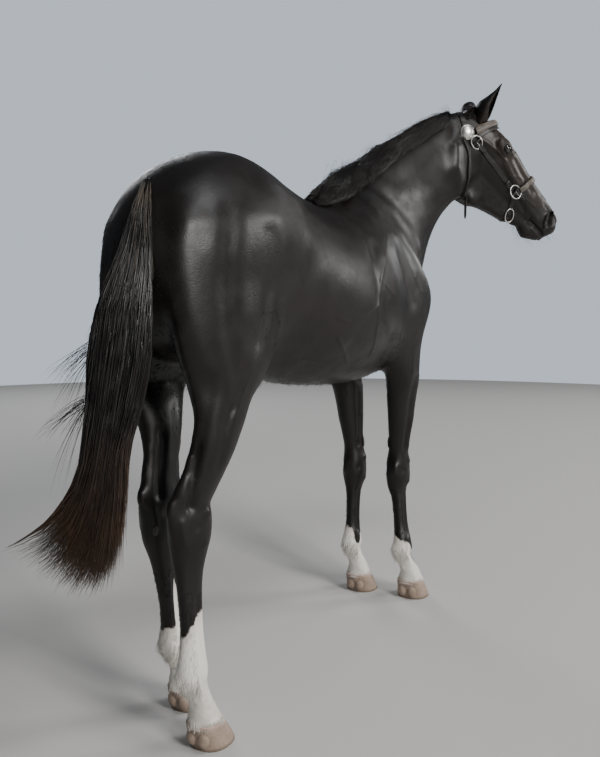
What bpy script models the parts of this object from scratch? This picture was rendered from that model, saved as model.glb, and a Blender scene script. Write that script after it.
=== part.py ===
"""A life-size standing horse in an in-hand show bridle, as named solids.

Metres, +Z up. The horse faces +X and its left side is +Y. All heights are above
the floor, and lengths along X start from the middle of the barrel. An empty at
the end moves the whole horse so that the origin is the middle of its footprint.
"""
import math
from dataclasses import dataclass

import bmesh
import bpy
import numpy as np
from mathutils import Euler, Matrix, Vector
from mathutils.bvhtree import BVHTree

# ---------------------------------------------------------------- driving sizes
FRAME_SHIFT = Vector((-0.1657, 0.1182, 0))
HEAD_LENGTH = 0.65
POLL = Vector((0.9735, -0.1856, 1.915))
CORONET = 0.075                    # height where the hair ends and the hoof starts
HEAD_TURN = math.radians(-41.0)   # to the right of straight ahead
HEAD_DROP = math.radians(44.0)    # below level
HEAD_ROLL = math.radians(10.0)    # its brow leans to the right
VOXEL = 0.007
RING = 28                          # corners of a body section
EAR_LENGTH = 0.148
EYE_RADIUS = 0.022
EYE_OUT = 0.078                    # from the head's middle plane to the ball's middle
STRAP_WIDTH = 0.019
STRAP = 0.0035                     # thickness of a strap
LIFT = 0.0040                      # how far a strap stands off the solid head
ROSETTE = 0.026                    # radius
RING_CORNERS = 16
GAP = 0.0004                       # between neighbouring solids
FLESH_RATIO = 0.0118               # share of the fused surface that the solids keep


@dataclass
class Section:
    """An egg-shaped slice: two ends, a half-width each side, and the place and
    roundness of its widest line. Roundness 2 is an ellipse, more is boxy."""
    top: Vector
    bottom: Vector
    left: float
    right: float
    level: float = 0.5
    upper: float = 2.0
    lower: float = 2.0

    def numbers(self):
        return [*self.top, *self.bottom, self.left, self.right, self.level,
                self.upper, self.lower]


def smooth_rows(rows, steps):
    """Rows of numbers with `steps` rows between each two, on a smooth curve."""
    rows = np.array(rows, float)
    place = np.r_[0.0, np.cumsum(np.linalg.norm(np.diff(rows[:, :6], axis=0), axis=1))]
    slope = np.gradient(rows, place, axis=0)
    found = []
    for i in range(len(rows) - 1):
        span = place[i + 1] - place[i]
        for k in range(steps):
            t = k / steps
            t2, t3 = t * t, t * t * t
            found.append((2 * t3 - 3 * t2 + 1) * rows[i] + (t3 - 2 * t2 + t) * span * slope[i]
                         + (3 * t2 - 2 * t3) * rows[i + 1] + (t3 - t2) * span * slope[i + 1])
    found.append(rows[-1])
    return np.array(found)


def section_points(row, forward, count):
    """The corners of one slice, turned to face along `forward`."""
    top, bottom = row[0:3], row[3:6]
    left, right, level, upper, lower = row[6:11]
    up = top - bottom
    side = np.cross(up, forward)
    side /= np.linalg.norm(side)
    middle = bottom + level * up
    points = []
    for k in range(count):
        angle = 2 * math.pi * k / count
        s, c = math.sin(angle), math.cos(angle)
        power = 2.0 / (upper if c > 0 else lower)
        high = math.copysign(abs(c) ** power, c)
        wide = math.copysign(abs(s) ** power, s)
        reach = (1 - level) if c > 0 else level
        points.append(middle + up * (high * reach) + side * wide * (left if s > 0 else right))
    return points


def loft(bm, sections, steps=4, count=RING):
    """A closed skin through the slices, added to the bmesh."""
    rows = smooth_rows([s.numbers() for s in sections], steps)
    centres = (rows[:, 0:3] + rows[:, 3:6]) / 2
    forward = np.gradient(centres, axis=0)
    rings = []
    for row, direction in zip(rows, forward):
        rings.append([bm.verts.new(p) for p in section_points(row, direction, count)])
    for a, b in zip(rings, rings[1:]):
        for k in range(count):
            n = (k + 1) % count
            bm.faces.new((a[k], a[n], b[n], b[k]))
    bm.faces.new(rings[0][::-1])
    bm.faces.new(rings[-1])


def lump(bm, centre, radii, turn=(0, 0, 0)):
    """An ellipsoid, such as a muscle's belly; `turn` is Euler angles in degrees."""
    spin = Euler([math.radians(a) for a in turn]).to_matrix().to_4x4()
    place = Matrix.Translation(Vector(centre)) @ spin @ Matrix.Diagonal((*radii, 1))
    bmesh.ops.create_icosphere(bm, subdivisions=3, radius=1, matrix=place)


# ---------------------------------------------------------------- trunk
def trunk(bm):
    # x, y, back line, belly line, half-width, level of the widest, roundness up, down
    rows = [
        (-0.812, -0.030, 1.300, 1.215, 0.035, 0.50, 2.0, 2.0),
        (-0.795, -0.030, 1.370, 1.150, 0.090, 0.50, 2.0, 2.0),
        (-0.755, -0.028, 1.445, 1.090, 0.145, 0.50, 2.0, 2.0),
        (-0.690, -0.025, 1.508, 1.040, 0.190, 0.52, 2.1, 2.0),
        (-0.580, -0.020, 1.565, 1.005, 0.220, 0.55, 2.1, 2.0),
        (-0.450, -0.015, 1.592, 0.975, 0.234, 0.60, 2.0, 1.9),
        (-0.340, -0.010, 1.580, 0.950, 0.230, 0.60, 1.9, 1.9),
        (-0.200, -0.006, 1.543, 0.920, 0.236, 0.54, 1.8, 2.0),
        (-0.060, -0.003, 1.506, 0.895, 0.255, 0.50, 1.8, 2.1),
        (0.060, 0.000, 1.489, 0.882, 0.265, 0.47, 1.9, 2.1),
        (0.180, 0.000, 1.510, 0.874, 0.260, 0.45, 1.9, 2.1),
        (0.300, 0.000, 1.566, 0.870, 0.236, 0.44, 1.75, 2.1),
        (0.400, 0.000, 1.612, 0.875, 0.210, 0.42, 1.6, 2.1),
        (0.500, 0.000, 1.610, 0.892, 0.190, 0.40, 1.6, 2.1),
        (0.600, 0.000, 1.540, 0.925, 0.178, 0.38, 1.7, 2.0),
        (0.700, 0.000, 1.430, 0.975, 0.160, 0.38, 1.8, 2.0),
        (0.770, 0.000, 1.330, 1.025, 0.134, 0.42, 1.9, 2.0),
        (0.806, 0.000, 1.255, 1.075, 0.096, 0.48, 2.0, 2.0),
        (0.824, 0.000, 1.200, 1.120, 0.045, 0.50, 2.0, 2.0),
    ]
    sections = []
    for x, y, top, bottom, width, level, upper, lower in rows:
        sections.append(Section(Vector((x, y, top)), Vector((x, y, bottom)),
                                width, width, level, upper, lower))
    loft(bm, sections)
    for side in (-1, 1):
        lump(bm, (0.735, side * 0.080, 1.150), (0.085, 0.080, 0.115), (0, 10, 0))     # breast
        lump(bm, (-0.320, side * 0.172 - 0.012, 1.425), (0.070, 0.034, 0.045), (0, 20, 0))  # hip


# ---------------------------------------------------------------- neck
def neck(bm):
    # crest x, y, z; underside x, y, z; half-width, level, roundness up, down
    rows = [
        (0.300, 0.000, 1.540, 0.700, 0.000, 0.980, 0.150, 0.40, 1.8, 2.0),
        (0.430, 0.000, 1.625, 0.800, -0.005, 1.120, 0.140, 0.42, 1.7, 2.0),
        (0.560, -0.012, 1.715, 0.845, -0.030, 1.270, 0.118, 0.44, 1.6, 2.1),
        (0.680, -0.045, 1.785, 0.870, -0.067, 1.398, 0.098, 0.45, 1.6, 2.2),
        (0.790, -0.090, 1.845, 0.903, -0.117, 1.502, 0.086, 0.46, 1.6, 2.2),
        (0.884, -0.139, 1.891, 0.954, -0.172, 1.583, 0.076, 0.48, 1.7, 2.2),
        (0.962, -0.181, 1.904, 1.012, -0.218, 1.642, 0.066, 0.50, 1.8, 2.2),
    ]
    sections = []
    for row in rows:
        width, level, upper, lower = row[6:]
        sections.append(Section(Vector(row[0:3]), Vector(row[3:6]), width, width, level,
                                upper, lower))
    loft(bm, sections)


# ---------------------------------------------------------------- head
def head_frame():
    """The head's own axes as a matrix: X runs down the face, Z out of the forehead."""
    turn = Matrix.Rotation(HEAD_TURN, 4, "Z")
    drop = Matrix.Rotation(HEAD_DROP, 4, "Y")
    roll = Matrix.Rotation(HEAD_ROLL, 4, "X")
    return Matrix.Translation(POLL) @ turn @ drop @ roll @ Matrix.Scale(HEAD_LENGTH / 0.64, 4)


def head_loft(bm, rows):
    frame = head_frame()
    sections = []
    for along, top, bottom, width, level, upper, lower in rows:
        wide = width * HEAD_LENGTH / 0.64
        sections.append(Section(frame @ Vector((along, 0, top)),
                                frame @ Vector((along, 0, bottom)),
                                wide, wide, level, upper, lower))
    loft(bm, sections)


def head_lump(bm, centre, radii, turn=(0, 0, 0)):
    spin = Euler([math.radians(a) for a in turn]).to_matrix().to_4x4()
    place = head_frame() @ Matrix.Translation(Vector(centre)) @ spin
    bmesh.ops.create_icosphere(bm, subdivisions=3, radius=1,
                               matrix=place @ Matrix.Diagonal((*radii, 1)))


def head(bm):
    # along the face, face line, palate line, half-width, level, roundness up, down
    head_loft(bm, [
        (-0.045, -0.045, -0.100, 0.025, 0.50, 2.0, 2.0),
        (-0.030, -0.015, -0.125, 0.045, 0.50, 2.0, 2.0),
        (0.000, 0.010, -0.150, 0.060, 0.60, 2.0, 2.0),
        (0.050, 0.040, -0.160, 0.071, 0.62, 2.1, 2.0),
        (0.100, 0.060, -0.165, 0.077, 0.64, 2.3, 2.0),
        (0.160, 0.073, -0.165, 0.082, 0.66, 2.5, 2.0),
        (0.220, 0.074, -0.155, 0.080, 0.66, 2.6, 2.0),
        (0.280, 0.066, -0.145, 0.071, 0.64, 2.6, 2.0),
        (0.340, 0.057, -0.130, 0.060, 0.62, 2.5, 2.1),
        (0.420, 0.048, -0.115, 0.050, 0.60, 2.4, 2.1),
        (0.500, 0.042, -0.100, 0.046, 0.56, 2.4, 2.2),
        (0.560, 0.037, -0.088, 0.048, 0.52, 2.4, 2.2),
        (0.598, 0.020, -0.074, 0.044, 0.56, 2.3, 2.2),
        (0.618, 0.002, -0.056, 0.037, 0.58, 2.2, 2.1),
        (0.631, -0.012, -0.036, 0.018, 0.50, 2.0, 2.0),
    ])
    # lower jaw
    head_loft(bm, [
        (0.030, -0.040, -0.140, 0.035, 0.50, 2.0, 2.0),
        (0.050, -0.030, -0.175, 0.053, 0.50, 2.0, 2.4),
        (0.085, -0.030, -0.207, 0.062, 0.45, 2.0, 2.8),
        (0.140, -0.030, -0.228, 0.066, 0.42, 2.0, 3.0),
        (0.200, -0.030, -0.230, 0.063, 0.40, 2.0, 3.0),
        (0.260, -0.030, -0.214, 0.056, 0.38, 2.0, 2.8),
        (0.340, -0.030, -0.182, 0.043, 0.38, 2.0, 2.6),
        (0.420, -0.030, -0.152, 0.034, 0.38, 2.0, 2.4),
        (0.500, -0.030, -0.131, 0.031, 0.40, 2.0, 2.4),
        (0.550, -0.030, -0.130, 0.033, 0.42, 2.0, 2.4),
        (0.577, -0.035, -0.119, 0.030, 0.45, 2.0, 2.3),
        (0.594, -0.050, -0.103, 0.020, 0.50, 2.0, 2.0),
    ])
    for side in (-1, 1):
        head_lump(bm, (0.200, side * 0.074, 0.022), (0.042, 0.024, 0.032), (0, 0, -side * 8))
        head_lump(bm, (0.135, side * 0.050, -0.105), (0.080, 0.032, 0.090), (0, -15, 0))
        head_lump(bm, (0.070, side * 0.035, 0.022), (0.060, 0.030, 0.028))
        head_lump(bm, (0.300, side * 0.056, -0.025), (0.075, 0.014, 0.012), (0, 4, -side * 12))
        head_lump(bm, (0.578, side * 0.036, -0.022), (0.040, 0.016, 0.028), (0, 25, 0))


# ---------------------------------------------------------------- legs
def leg_loft(bm, rows, side):
    # height, front x, back x, line y, outer and inner half-width, level, roundness
    sections = []
    for z, front, back, y, outer, inner, level, fore, rear in rows:
        left, right = (inner, outer) if side > 0 else (outer, inner)
        sections.append(Section(Vector((front, y, z)), Vector((back, y, z)),
                                left, right, level, fore, rear))
    loft(bm, sections, steps=3, count=24)


def fore_leg(bm, side, knee, fetlock, toe):
    """`side` is +1 on the left; `knee`, `fetlock` and `toe` are (x, y)."""
    (kx, ky), (fx, fy), (tx, ty) = knee, fetlock, toe
    s = side
    rows = [
        (0.060, tx + 0.052, tx - 0.060, ty, 0.052, 0.052, 0.50, 2.0, 2.0),
        (0.085, tx + 0.040, tx - 0.052, ty, 0.047, 0.047, 0.50, 2.0, 2.0),
        (0.110, tx + 0.024, tx - 0.054, ty, 0.038, 0.038, 0.50, 2.1, 2.0),
        (0.145, (fx + tx) / 2 + 0.028, (fx + tx) / 2 - 0.045, (fy + ty) / 2,
         0.032, 0.032, 0.50, 2.1, 2.0),
        (0.180, fx + 0.038, fx - 0.042, fy, 0.035, 0.035, 0.50, 2.2, 2.0),
        (0.210, fx + 0.040, fx - 0.050, fy, 0.038, 0.038, 0.55, 2.3, 2.0),
        (0.240, fx + 0.037, fx - 0.045, fy, 0.034, 0.034, 0.58, 2.3, 2.0),
        (0.275, (fx * 4 + kx) / 5 + 0.033, (fx * 4 + kx) / 5 - 0.036, (fy * 4 + ky) / 5,
         0.028, 0.028, 0.60, 2.3, 2.0),
        (0.350, (fx + kx) / 2 + 0.030, (fx + kx) / 2 - 0.035, (fy + ky) / 2,
         0.026, 0.026, 0.60, 2.3, 2.0),
        (0.410, (fx + kx * 3) / 4 + 0.032, (fx + kx * 3) / 4 - 0.037, (fy + ky * 3) / 4,
         0.030, 0.030, 0.60, 2.3, 2.0),
        (0.445, kx + 0.040, kx - 0.045, ky, 0.040, 0.040, 0.60, 2.4, 2.1),
        (0.475, kx + 0.048, kx - 0.050, ky, 0.047, 0.046, 0.60, 2.5, 2.1),
        (0.505, kx + 0.050, kx - 0.054, ky, 0.047, 0.047, 0.60, 2.5, 2.1),
        (0.540, kx + 0.047, kx - 0.050, ky, 0.045, 0.045, 0.60, 2.4, 2.1),
        (0.580, kx + 0.041, kx - 0.046, ky + s * 0.002, 0.040, 0.040, 0.60, 2.3, 2.0),
        (0.640, kx + 0.043, kx - 0.055, ky + s * 0.006, 0.043, 0.042, 0.60, 2.2, 2.0),
        (0.710, kx + 0.050, kx - 0.070, ky + s * 0.012, 0.051, 0.048, 0.60, 2.1, 2.0),
        (0.780, kx + 0.049, kx - 0.082, ky + s * 0.016, 0.056, 0.053, 0.58, 2.1, 2.0),
        (0.850, kx + 0.047, kx - 0.098, ky + s * 0.024, 0.062, 0.060, 0.56, 2.0, 2.0),
        (0.910, 0.645, 0.462, s * 0.130, 0.065, 0.068, 0.54, 2.0, 2.0),
        (0.970, 0.660, 0.425, s * 0.132, 0.064, 0.075, 0.54, 2.0, 2.0),
        (1.040, 0.692, 0.390, s * 0.133, 0.066, 0.080, 0.52, 2.0, 2.0),
        (1.110, 0.740, 0.365, s * 0.134, 0.072, 0.080, 0.52, 2.0, 2.0),
        (1.170, 0.762, 0.345, s * 0.130, 0.076, 0.080, 0.54, 2.0, 2.0),
        (1.240, 0.745, 0.320, s * 0.122, 0.076, 0.080, 0.54, 2.0, 2.0),
        (1.330, 0.660, 0.295, s * 0.108, 0.070, 0.080, 0.50, 2.0, 2.0),
        (1.420, 0.575, 0.275, s * 0.090, 0.060, 0.070, 0.50, 2.0, 2.0),
        (1.510, 0.500, 0.265, s * 0.062, 0.042, 0.050, 0.50, 2.0, 2.0),
    ]
    leg_loft(bm, rows, side)


GASKINS = {  # by side: height, front and back past the hock, out from the hock, outer and inner width
    -1: [
        (0.690, 0.078, -0.074, 0.012, 0.042, 0.038),
        (0.740, 0.098, -0.050, 0.024, 0.048, 0.038),
        (0.800, 0.122, -0.036, 0.034, 0.058, 0.042),
        (0.870, 0.155, -0.026, 0.042, 0.062, 0.044),
        (0.940, 0.218, -0.030, 0.030, 0.080, 0.056),
    ],
    1: [
        (0.690, 0.064, -0.074, 0.002, 0.039, 0.039),
        (0.740, 0.070, -0.058, 0.008, 0.043, 0.041),
        (0.800, 0.092, -0.052, 0.018, 0.050, 0.048),
        (0.870, 0.132, -0.056, 0.040, 0.058, 0.056),
        (0.940, 0.205, -0.070, 0.080, 0.078, 0.062),
    ],
}


def hind_leg(bm, side, hock, fetlock, toe):
    (hx, hy), (fx, fy), (tx, ty) = hock, fetlock, toe
    s = side
    forward = hx + 0.70               # how far this leg is set forward of a square stance
    gaskin = [(z, hx + front, hx + back, hy + s * out, outer, inner, 0.58, 2.1, 1.8)
              for z, front, back, out, outer, inner in GASKINS[s]]
    rows = [
        (0.060, tx + 0.052, tx - 0.062, ty, 0.049, 0.049, 0.50, 2.0, 2.0),
        (0.085, tx + 0.038, tx - 0.054, ty, 0.045, 0.045, 0.50, 2.0, 2.0),
        (0.112, tx + 0.022, tx - 0.054, ty, 0.037, 0.037, 0.50, 2.1, 2.0),
        (0.150, (fx + tx) / 2 + 0.030, (fx + tx) / 2 - 0.043, (fy + ty) / 2,
         0.033, 0.033, 0.50, 2.1, 2.0),
        (0.195, fx + 0.041, fx - 0.045, fy, 0.037, 0.037, 0.50, 2.2, 2.0),
        (0.230, fx + 0.042, fx - 0.052, fy, 0.039, 0.039, 0.55, 2.3, 2.0),
        (0.262, fx + 0.038, fx - 0.046, fy, 0.034, 0.034, 0.58, 2.3, 2.0),
        (0.320, (fx * 3 + hx) / 4 + 0.032, (fx * 3 + hx) / 4 - 0.040, (fy * 3 + hy) / 4,
         0.028, 0.028, 0.60, 2.3, 2.0),
        (0.400, (fx + hx) / 2 + 0.030, (fx + hx) / 2 - 0.046, (fy + hy) / 2,
         0.028, 0.028, 0.60, 2.3, 2.0),
        (0.470, (fx + hx * 3) / 4 + 0.032, (fx + hx * 3) / 4 - 0.056, (fy + hy * 3) / 4,
         0.033, 0.033, 0.60, 2.3, 2.0),
        (0.525, hx + 0.044, hx - 0.068, hy, 0.044, 0.044, 0.62, 2.3, 2.0),
        (0.575, hx + 0.056, hx - 0.076, hy, 0.050, 0.050, 0.66, 2.3, 1.9),
        (0.620, hx + 0.062, hx - 0.086, hy, 0.048, 0.048, 0.68, 2.2, 1.7),
        (0.655, hx + 0.062, hx - 0.088, hy, 0.043, 0.043, 0.66, 2.2, 1.6),
        *gaskin,
        (1.020, -0.405, -0.760 + forward * 0.25, s * 0.134 - 0.016, 0.084, 0.080, 0.56, 2.1, 1.9),
        (1.100, -0.372, -0.782 + forward * 0.10, s * 0.128 - 0.020, 0.088, 0.100, 0.58, 2.1, 1.8),
        (1.200, -0.360, -0.794, s * 0.118 - 0.022, 0.096, 0.110, 0.60, 2.1, 1.7),
        (1.300, -0.365, -0.792, s * 0.107 - 0.022, 0.100, 0.110, 0.60, 2.1, 1.7),
        (1.390, -0.380, -0.765, s * 0.096 - 0.022, 0.097, 0.100, 0.58, 2.0, 1.8),
        (1.470, -0.400, -0.690, s * 0.078 - 0.020, 0.072, 0.075, 0.55, 2.0, 1.9),
    ]
    leg_loft(bm, rows, side)


def build_flesh():
    bm = bmesh.new()
    trunk(bm)
    neck(bm)
    head(bm)
    fore_leg(bm, -1, (0.600, -0.096), (0.575, -0.132), (0.625, -0.150))
    fore_leg(bm, 1, (0.570, 0.080), (0.540, 0.071), (0.588, 0.060))
    hind_leg(bm, -1, (-0.700, -0.120), (-0.735, -0.150), (-0.682, -0.152))
    hind_leg(bm, 1, (-0.630, 0.040), (-0.600, 0.027), (-0.548, 0.027))
    bmesh.ops.recalc_face_normals(bm, faces=bm.faces)
    mesh = bpy.data.meshes.new("flesh")
    bm.to_mesh(mesh)
    flesh = bpy.data.objects.new("flesh", mesh)
    bpy.context.scene.collection.objects.link(flesh)
    return flesh


def body_weight(point):
    """1 where the big muscles blend softly, falling to 0 on the bony legs and the head."""
    return min(1.0, max(0.0, (point.z - 0.72) / 0.25)) if point.x < 0.9 else 0.0


def evaluated_copy(obj, name):
    graph = bpy.context.evaluated_depsgraph_get()
    mesh = bpy.data.meshes.new_from_object(obj.evaluated_get(graph))
    found = bpy.data.objects.new(name, mesh)
    bpy.context.scene.collection.objects.link(found)
    return found


def new_object(name, bm):
    bmesh.ops.recalc_face_normals(bm, faces=bm.faces)
    mesh = bpy.data.meshes.new(name)
    bm.to_mesh(mesh)
    found = bpy.data.objects.new(name, mesh)
    bpy.context.scene.collection.objects.link(found)
    return found


# ---------------------------------------------------------------- cutting into nodes
def box(name, centre, along, up, size):
    """A box whose near face is centred on `centre`; it reaches `size[0]` along `along`."""
    x = Vector(along).normalized()
    y = Vector(up).cross(x).normalized()
    z = x.cross(y)
    turn = Matrix((x, y, z)).transposed().to_4x4()
    place = Matrix.Translation(Vector(centre) + x * size[0] / 2) @ turn
    bm = bmesh.new()
    bmesh.ops.create_cube(bm, size=1, matrix=place @ Matrix.Diagonal((*size, 1)))
    return new_object(name, bm)


def boolean(obj, operation, cutter):
    modifier = obj.modifiers.new(operation, "BOOLEAN")
    modifier.operation, modifier.object, modifier.solver = operation, cutter, "EXACT"


def split(body, name, centre, along, up, size):
    """Takes what is inside a box out of `body`, as its own object, with a thin gap."""
    wide = [s + 2 * GAP for s in size]
    inner = box("cut", centre, along, up, size)
    outer = box("cut", Vector(centre) - Vector(along).normalized() * GAP, along, up, wide)
    piece = body.copy()
    boolean(piece, "INTERSECT", inner)
    boolean(body, "DIFFERENCE", outer)
    bpy.context.scene.collection.objects.link(piece)
    taken, rest = evaluated_copy(piece, name), evaluated_copy(body, body.name)
    for old in (inner, outer, piece, body):
        bpy.data.objects.remove(old)
    return taken, rest


def clear_of(obj, body):
    """Takes away from `obj` whatever lies inside `body`, plus a thin gap."""
    grown = body.copy()
    grown.data = body.data.copy()
    bpy.context.scene.collection.objects.link(grown)
    grow = grown.modifiers.new("grow", "DISPLACE")
    grow.mid_level, grow.strength = 0.0, 4 * GAP
    boolean(obj, "DIFFERENCE", grown)
    name = obj.name
    obj.name = "old"
    found = evaluated_copy(obj, name)
    bpy.data.objects.remove(obj)
    bpy.data.objects.remove(grown)
    return largest(found)


def largest(obj):
    """Keeps only the largest of an object's loose pieces."""
    bm = bmesh.new()
    bm.from_mesh(obj.data)
    seen, groups = set(), []
    for start in bm.verts:
        if start in seen:
            continue
        stack, group = [start], []
        seen.add(start)
        while stack:
            vertex = stack.pop()
            group.append(vertex)
            for edge in vertex.link_edges:
                other = edge.other_vert(vertex)
                if other not in seen:
                    seen.add(other)
                    stack.append(other)
        groups.append(group)
    groups.sort(key=len)
    for group in groups[:-1]:
        bmesh.ops.delete(bm, geom=group, context="VERTS")
    bm.to_mesh(obj.data)
    bm.free()
    return obj


# ---------------------------------------------------------------- separate solids
def hoof(name, toe, half_width):
    tx, ty = toe
    rows = [
        (0.000, tx + 0.092, tx - 0.036, half_width),
        (0.012, tx + 0.085, tx - 0.038, half_width * 0.985),
        (CORONET * 0.55, tx + 0.063, tx - 0.047, half_width * 0.92),
        (CORONET - GAP, tx + 0.040, tx - 0.056, half_width * 0.84),
    ]
    bm = bmesh.new()
    sections = [Section(Vector((front, ty, z)), Vector((back, ty, z)), wide, wide, 0.46, 2.0, 2.4)
                for z, front, back, wide in rows]
    loft(bm, sections, steps=1, count=18)
    return new_object(name, bm)


def eye(name, side):
    bm = bmesh.new()
    place = head_frame() @ Matrix.Translation(Vector((0.208, side * EYE_OUT, 0.026)))
    bmesh.ops.create_uvsphere(bm, u_segments=12, v_segments=8, radius=EYE_RADIUS,
                              matrix=place)
    return new_object(name, bm)


def ear(name, base, direction, opening, length):
    """A cupped leaf: `direction` is where its tip points, `opening` where its hollow faces."""
    frame = head_frame()
    z = (frame.to_3x3() @ Vector(direction)).normalized()
    y = z.cross(frame.to_3x3() @ Vector(opening)).normalized()
    x = y.cross(z)
    origin = frame @ Vector(base)
    rows = [  # height, half-width, how far the hollow faces forward, thickness, lean
        (-0.16, 0.018, 0.014, 0.022, 0.000),
        (0.00, 0.024, 0.018, 0.026, 0.000),
        (0.14, 0.031, 0.020, 0.026, -0.001),
        (0.34, 0.035, 0.016, 0.023, -0.002),
        (0.56, 0.030, 0.010, 0.018, -0.001),
        (0.78, 0.019, 0.005, 0.012, 0.001),
        (0.93, 0.008, 0.002, 0.007, 0.003),
        (1.00, 0.002, 0.001, 0.003, 0.004),
    ]
    bm = bmesh.new()
    sections = []
    for height, wide, front, back, lean in rows:
        centre = origin + z * height * length + x * lean
        sections.append(Section(centre + x * front, centre - x * back, wide, wide, 0.5))
    loft(bm, sections, steps=1, count=12)
    found = new_object(name, bm)
    hollow = bmesh.new()
    sections = []
    for height, wide, front, back, lean in rows[2:-1]:
        centre = origin + z * (height + 0.03) * length + x * (lean + 0.006)
        sections.append(Section(centre + x * (front + 0.012), centre - x * (back - 0.010),
                                wide * 0.72, wide * 0.72, 0.5))
    loft(hollow, sections, steps=1, count=10)
    cutter = new_object("hollow", hollow)
    boolean(found, "DIFFERENCE", cutter)
    done = evaluated_copy(found, name)
    bpy.data.objects.remove(found)
    bpy.data.objects.remove(cutter)
    done.name = name
    return done


def tail():
    # depth, then (across, height) of the left edge, the middle and the right edge
    rows = [
        (-0.640, -0.380, 1.470, -0.367, 1.483, -0.355, 1.470),
        (-0.696, -0.396, 1.400, -0.372, 1.405, -0.349, 1.400),
        (-0.738, -0.423, 1.287, -0.377, 1.287, -0.343, 1.287),
        (-0.765, -0.463, 1.179, -0.398, 1.179, -0.341, 1.179),
        (-0.775, -0.487, 1.059, -0.413, 1.059, -0.343, 1.059),
        (-0.780, -0.494, 0.939, -0.434, 0.939, -0.364, 0.939),
        (-0.782, -0.498, 0.866, -0.445, 0.866, -0.382, 0.878),
        (-0.784, -0.506, 0.793, -0.453, 0.793, -0.399, 0.813),
        (-0.784, -0.530, 0.727, -0.465, 0.694, -0.406, 0.719),
        (-0.782, -0.574, 0.656, -0.483, 0.594, -0.413, 0.631),
        (-0.778, -0.615, 0.610, -0.505, 0.520, -0.416, 0.568),
        (-0.774, -0.6563, 0.580, -0.530, 0.460, -0.412, 0.520),
    ]
    thick = [0.014, 0.022, 0.026, 0.028, 0.031, 0.033, 0.034, 0.034, 0.033, 0.030, 0.022, 0.008]
    across = Vector((0.528, -0.849, 0)).normalized()
    through = Vector((0.849, 0.528, 0)).normalized()
    bm = bmesh.new()
    rings = []
    count = 12
    for i, (depth, *sides) in enumerate(rows):
        left, middle, right = (np.array(sides[k:k + 2]) for k in (0, 2, 4))
        ring = []
        for k in range(count):
            angle = 2 * math.pi * k / count
            u, v = math.cos(angle), math.sin(angle)
            v *= 1 + 0.10 * math.sin(3 * angle + i * 0.9)
            wide, high = (left * u * (u - 1) / 2 + middle * (1 - u * u) + right * u * (u + 1) / 2)
            ring.append(bm.verts.new(across * wide + through * (depth + thick[i] * v)
                                     + Vector((0, 0, high))))
        rings.append(ring)
    for a, b in zip(rings, rings[1:]):
        for k in range(count):
            n = (k + 1) % count
            bm.faces.new((a[k], a[n], b[n], b[k]))
    bm.faces.new(rings[0][::-1])
    bm.faces.new(rings[-1])
    return new_object("tail", bm)


def mane():
    # crest x, y, z; lower edge on the right side x, y, z; how far it stands off and is blown up
    rows = [
        (0.045, -0.008, 1.503, 0.045, -0.050, 1.490, 0.006, 0.000),
        (0.090, -0.008, 1.513, 0.080, -0.068, 1.500, 0.012, 0.022),
        (0.180, -0.008, 1.545, 0.160, -0.080, 1.530, 0.022, 0.050),
        (0.300, -0.008, 1.590, 0.280, -0.085, 1.565, 0.030, 0.056),
        (0.420, -0.008, 1.648, 0.390, -0.087, 1.616, 0.034, 0.048),
        (0.540, -0.016, 1.718, 0.510, -0.092, 1.673, 0.036, 0.026),
        (0.650, -0.040, 1.782, 0.620, -0.109, 1.727, 0.035, 0.014),
        (0.760, -0.082, 1.842, 0.730, -0.138, 1.790, 0.033, 0.016),
        (0.850, -0.126, 1.888, 0.810, -0.176, 1.840, 0.030, 0.013),
        (0.898, -0.150, 1.910, 0.860, -0.196, 1.866, 0.022, 0.010),
        (0.914, -0.157, 1.912, 0.886, -0.199, 1.880, 0.010, 0.008),
    ]
    bm = bmesh.new()
    rings = []
    rows = smooth_rows([(*row, 0) for row in rows], 2)
    for i, row in enumerate(rows):
        crest, edge = Vector(row[0:3]), Vector(row[3:6])
        stand = row[6] * (1 + 0.14 * math.sin(i * 1.7))
        blown = Vector((0, 0, row[7] * (1 + 0.10 * math.sin(i * 2.9))))
        edge = edge.lerp(crest, 0.08 * math.sin(i * 2.3 + 1))
        out = Vector((0, -0.8, 0.6))
        middle = crest.lerp(edge, 0.5)
        ring = [crest + Vector((0, 0.030, -0.030)), crest + Vector((0, 0.016, 0.006)) + blown * 0.8,
                crest + out * stand * 0.45 + blown, middle + out * stand + blown * 0.6,
                edge + out * stand * 0.55 + blown * 0.1, edge + Vector((0, 0.010, -0.004)),
                middle + Vector((0, 0.045, -0.035))]
        rings.append([bm.verts.new(p) for p in ring])
    for a, b in zip(rings, rings[1:]):
        for k in range(len(a)):
            n = (k + 1) % len(a)
            bm.faces.new((a[k], a[n], b[n], b[k]))
    bm.faces.new(rings[0][::-1])
    bm.faces.new(rings[-1])
    return new_object("mane", bm)


def forelock():
    # along the face, across, height off the middle plane; half-width, thickness
    rows = [
        (0.010, 0.000, 0.022, 0.012, 0.010),
        (0.030, 0.002, 0.036, 0.015, 0.010),
        (0.060, 0.008, 0.048, 0.020, 0.009),
        (0.105, 0.024, 0.058, 0.024, 0.008),
        (0.150, 0.038, 0.070, 0.020, 0.008),
        (0.195, 0.048, 0.068, 0.009, 0.006),
    ]
    frame = head_frame()
    bm = bmesh.new()
    sections = []
    for x, y, z, wide, thick in rows:
        sections.append(Section(frame @ Vector((x, y, z + thick)),
                                frame @ Vector((x, y, z - thick)), wide, wide, 0.5))
    loft(bm, sections, steps=1, count=10)
    return new_object("forelock", bm)


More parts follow.
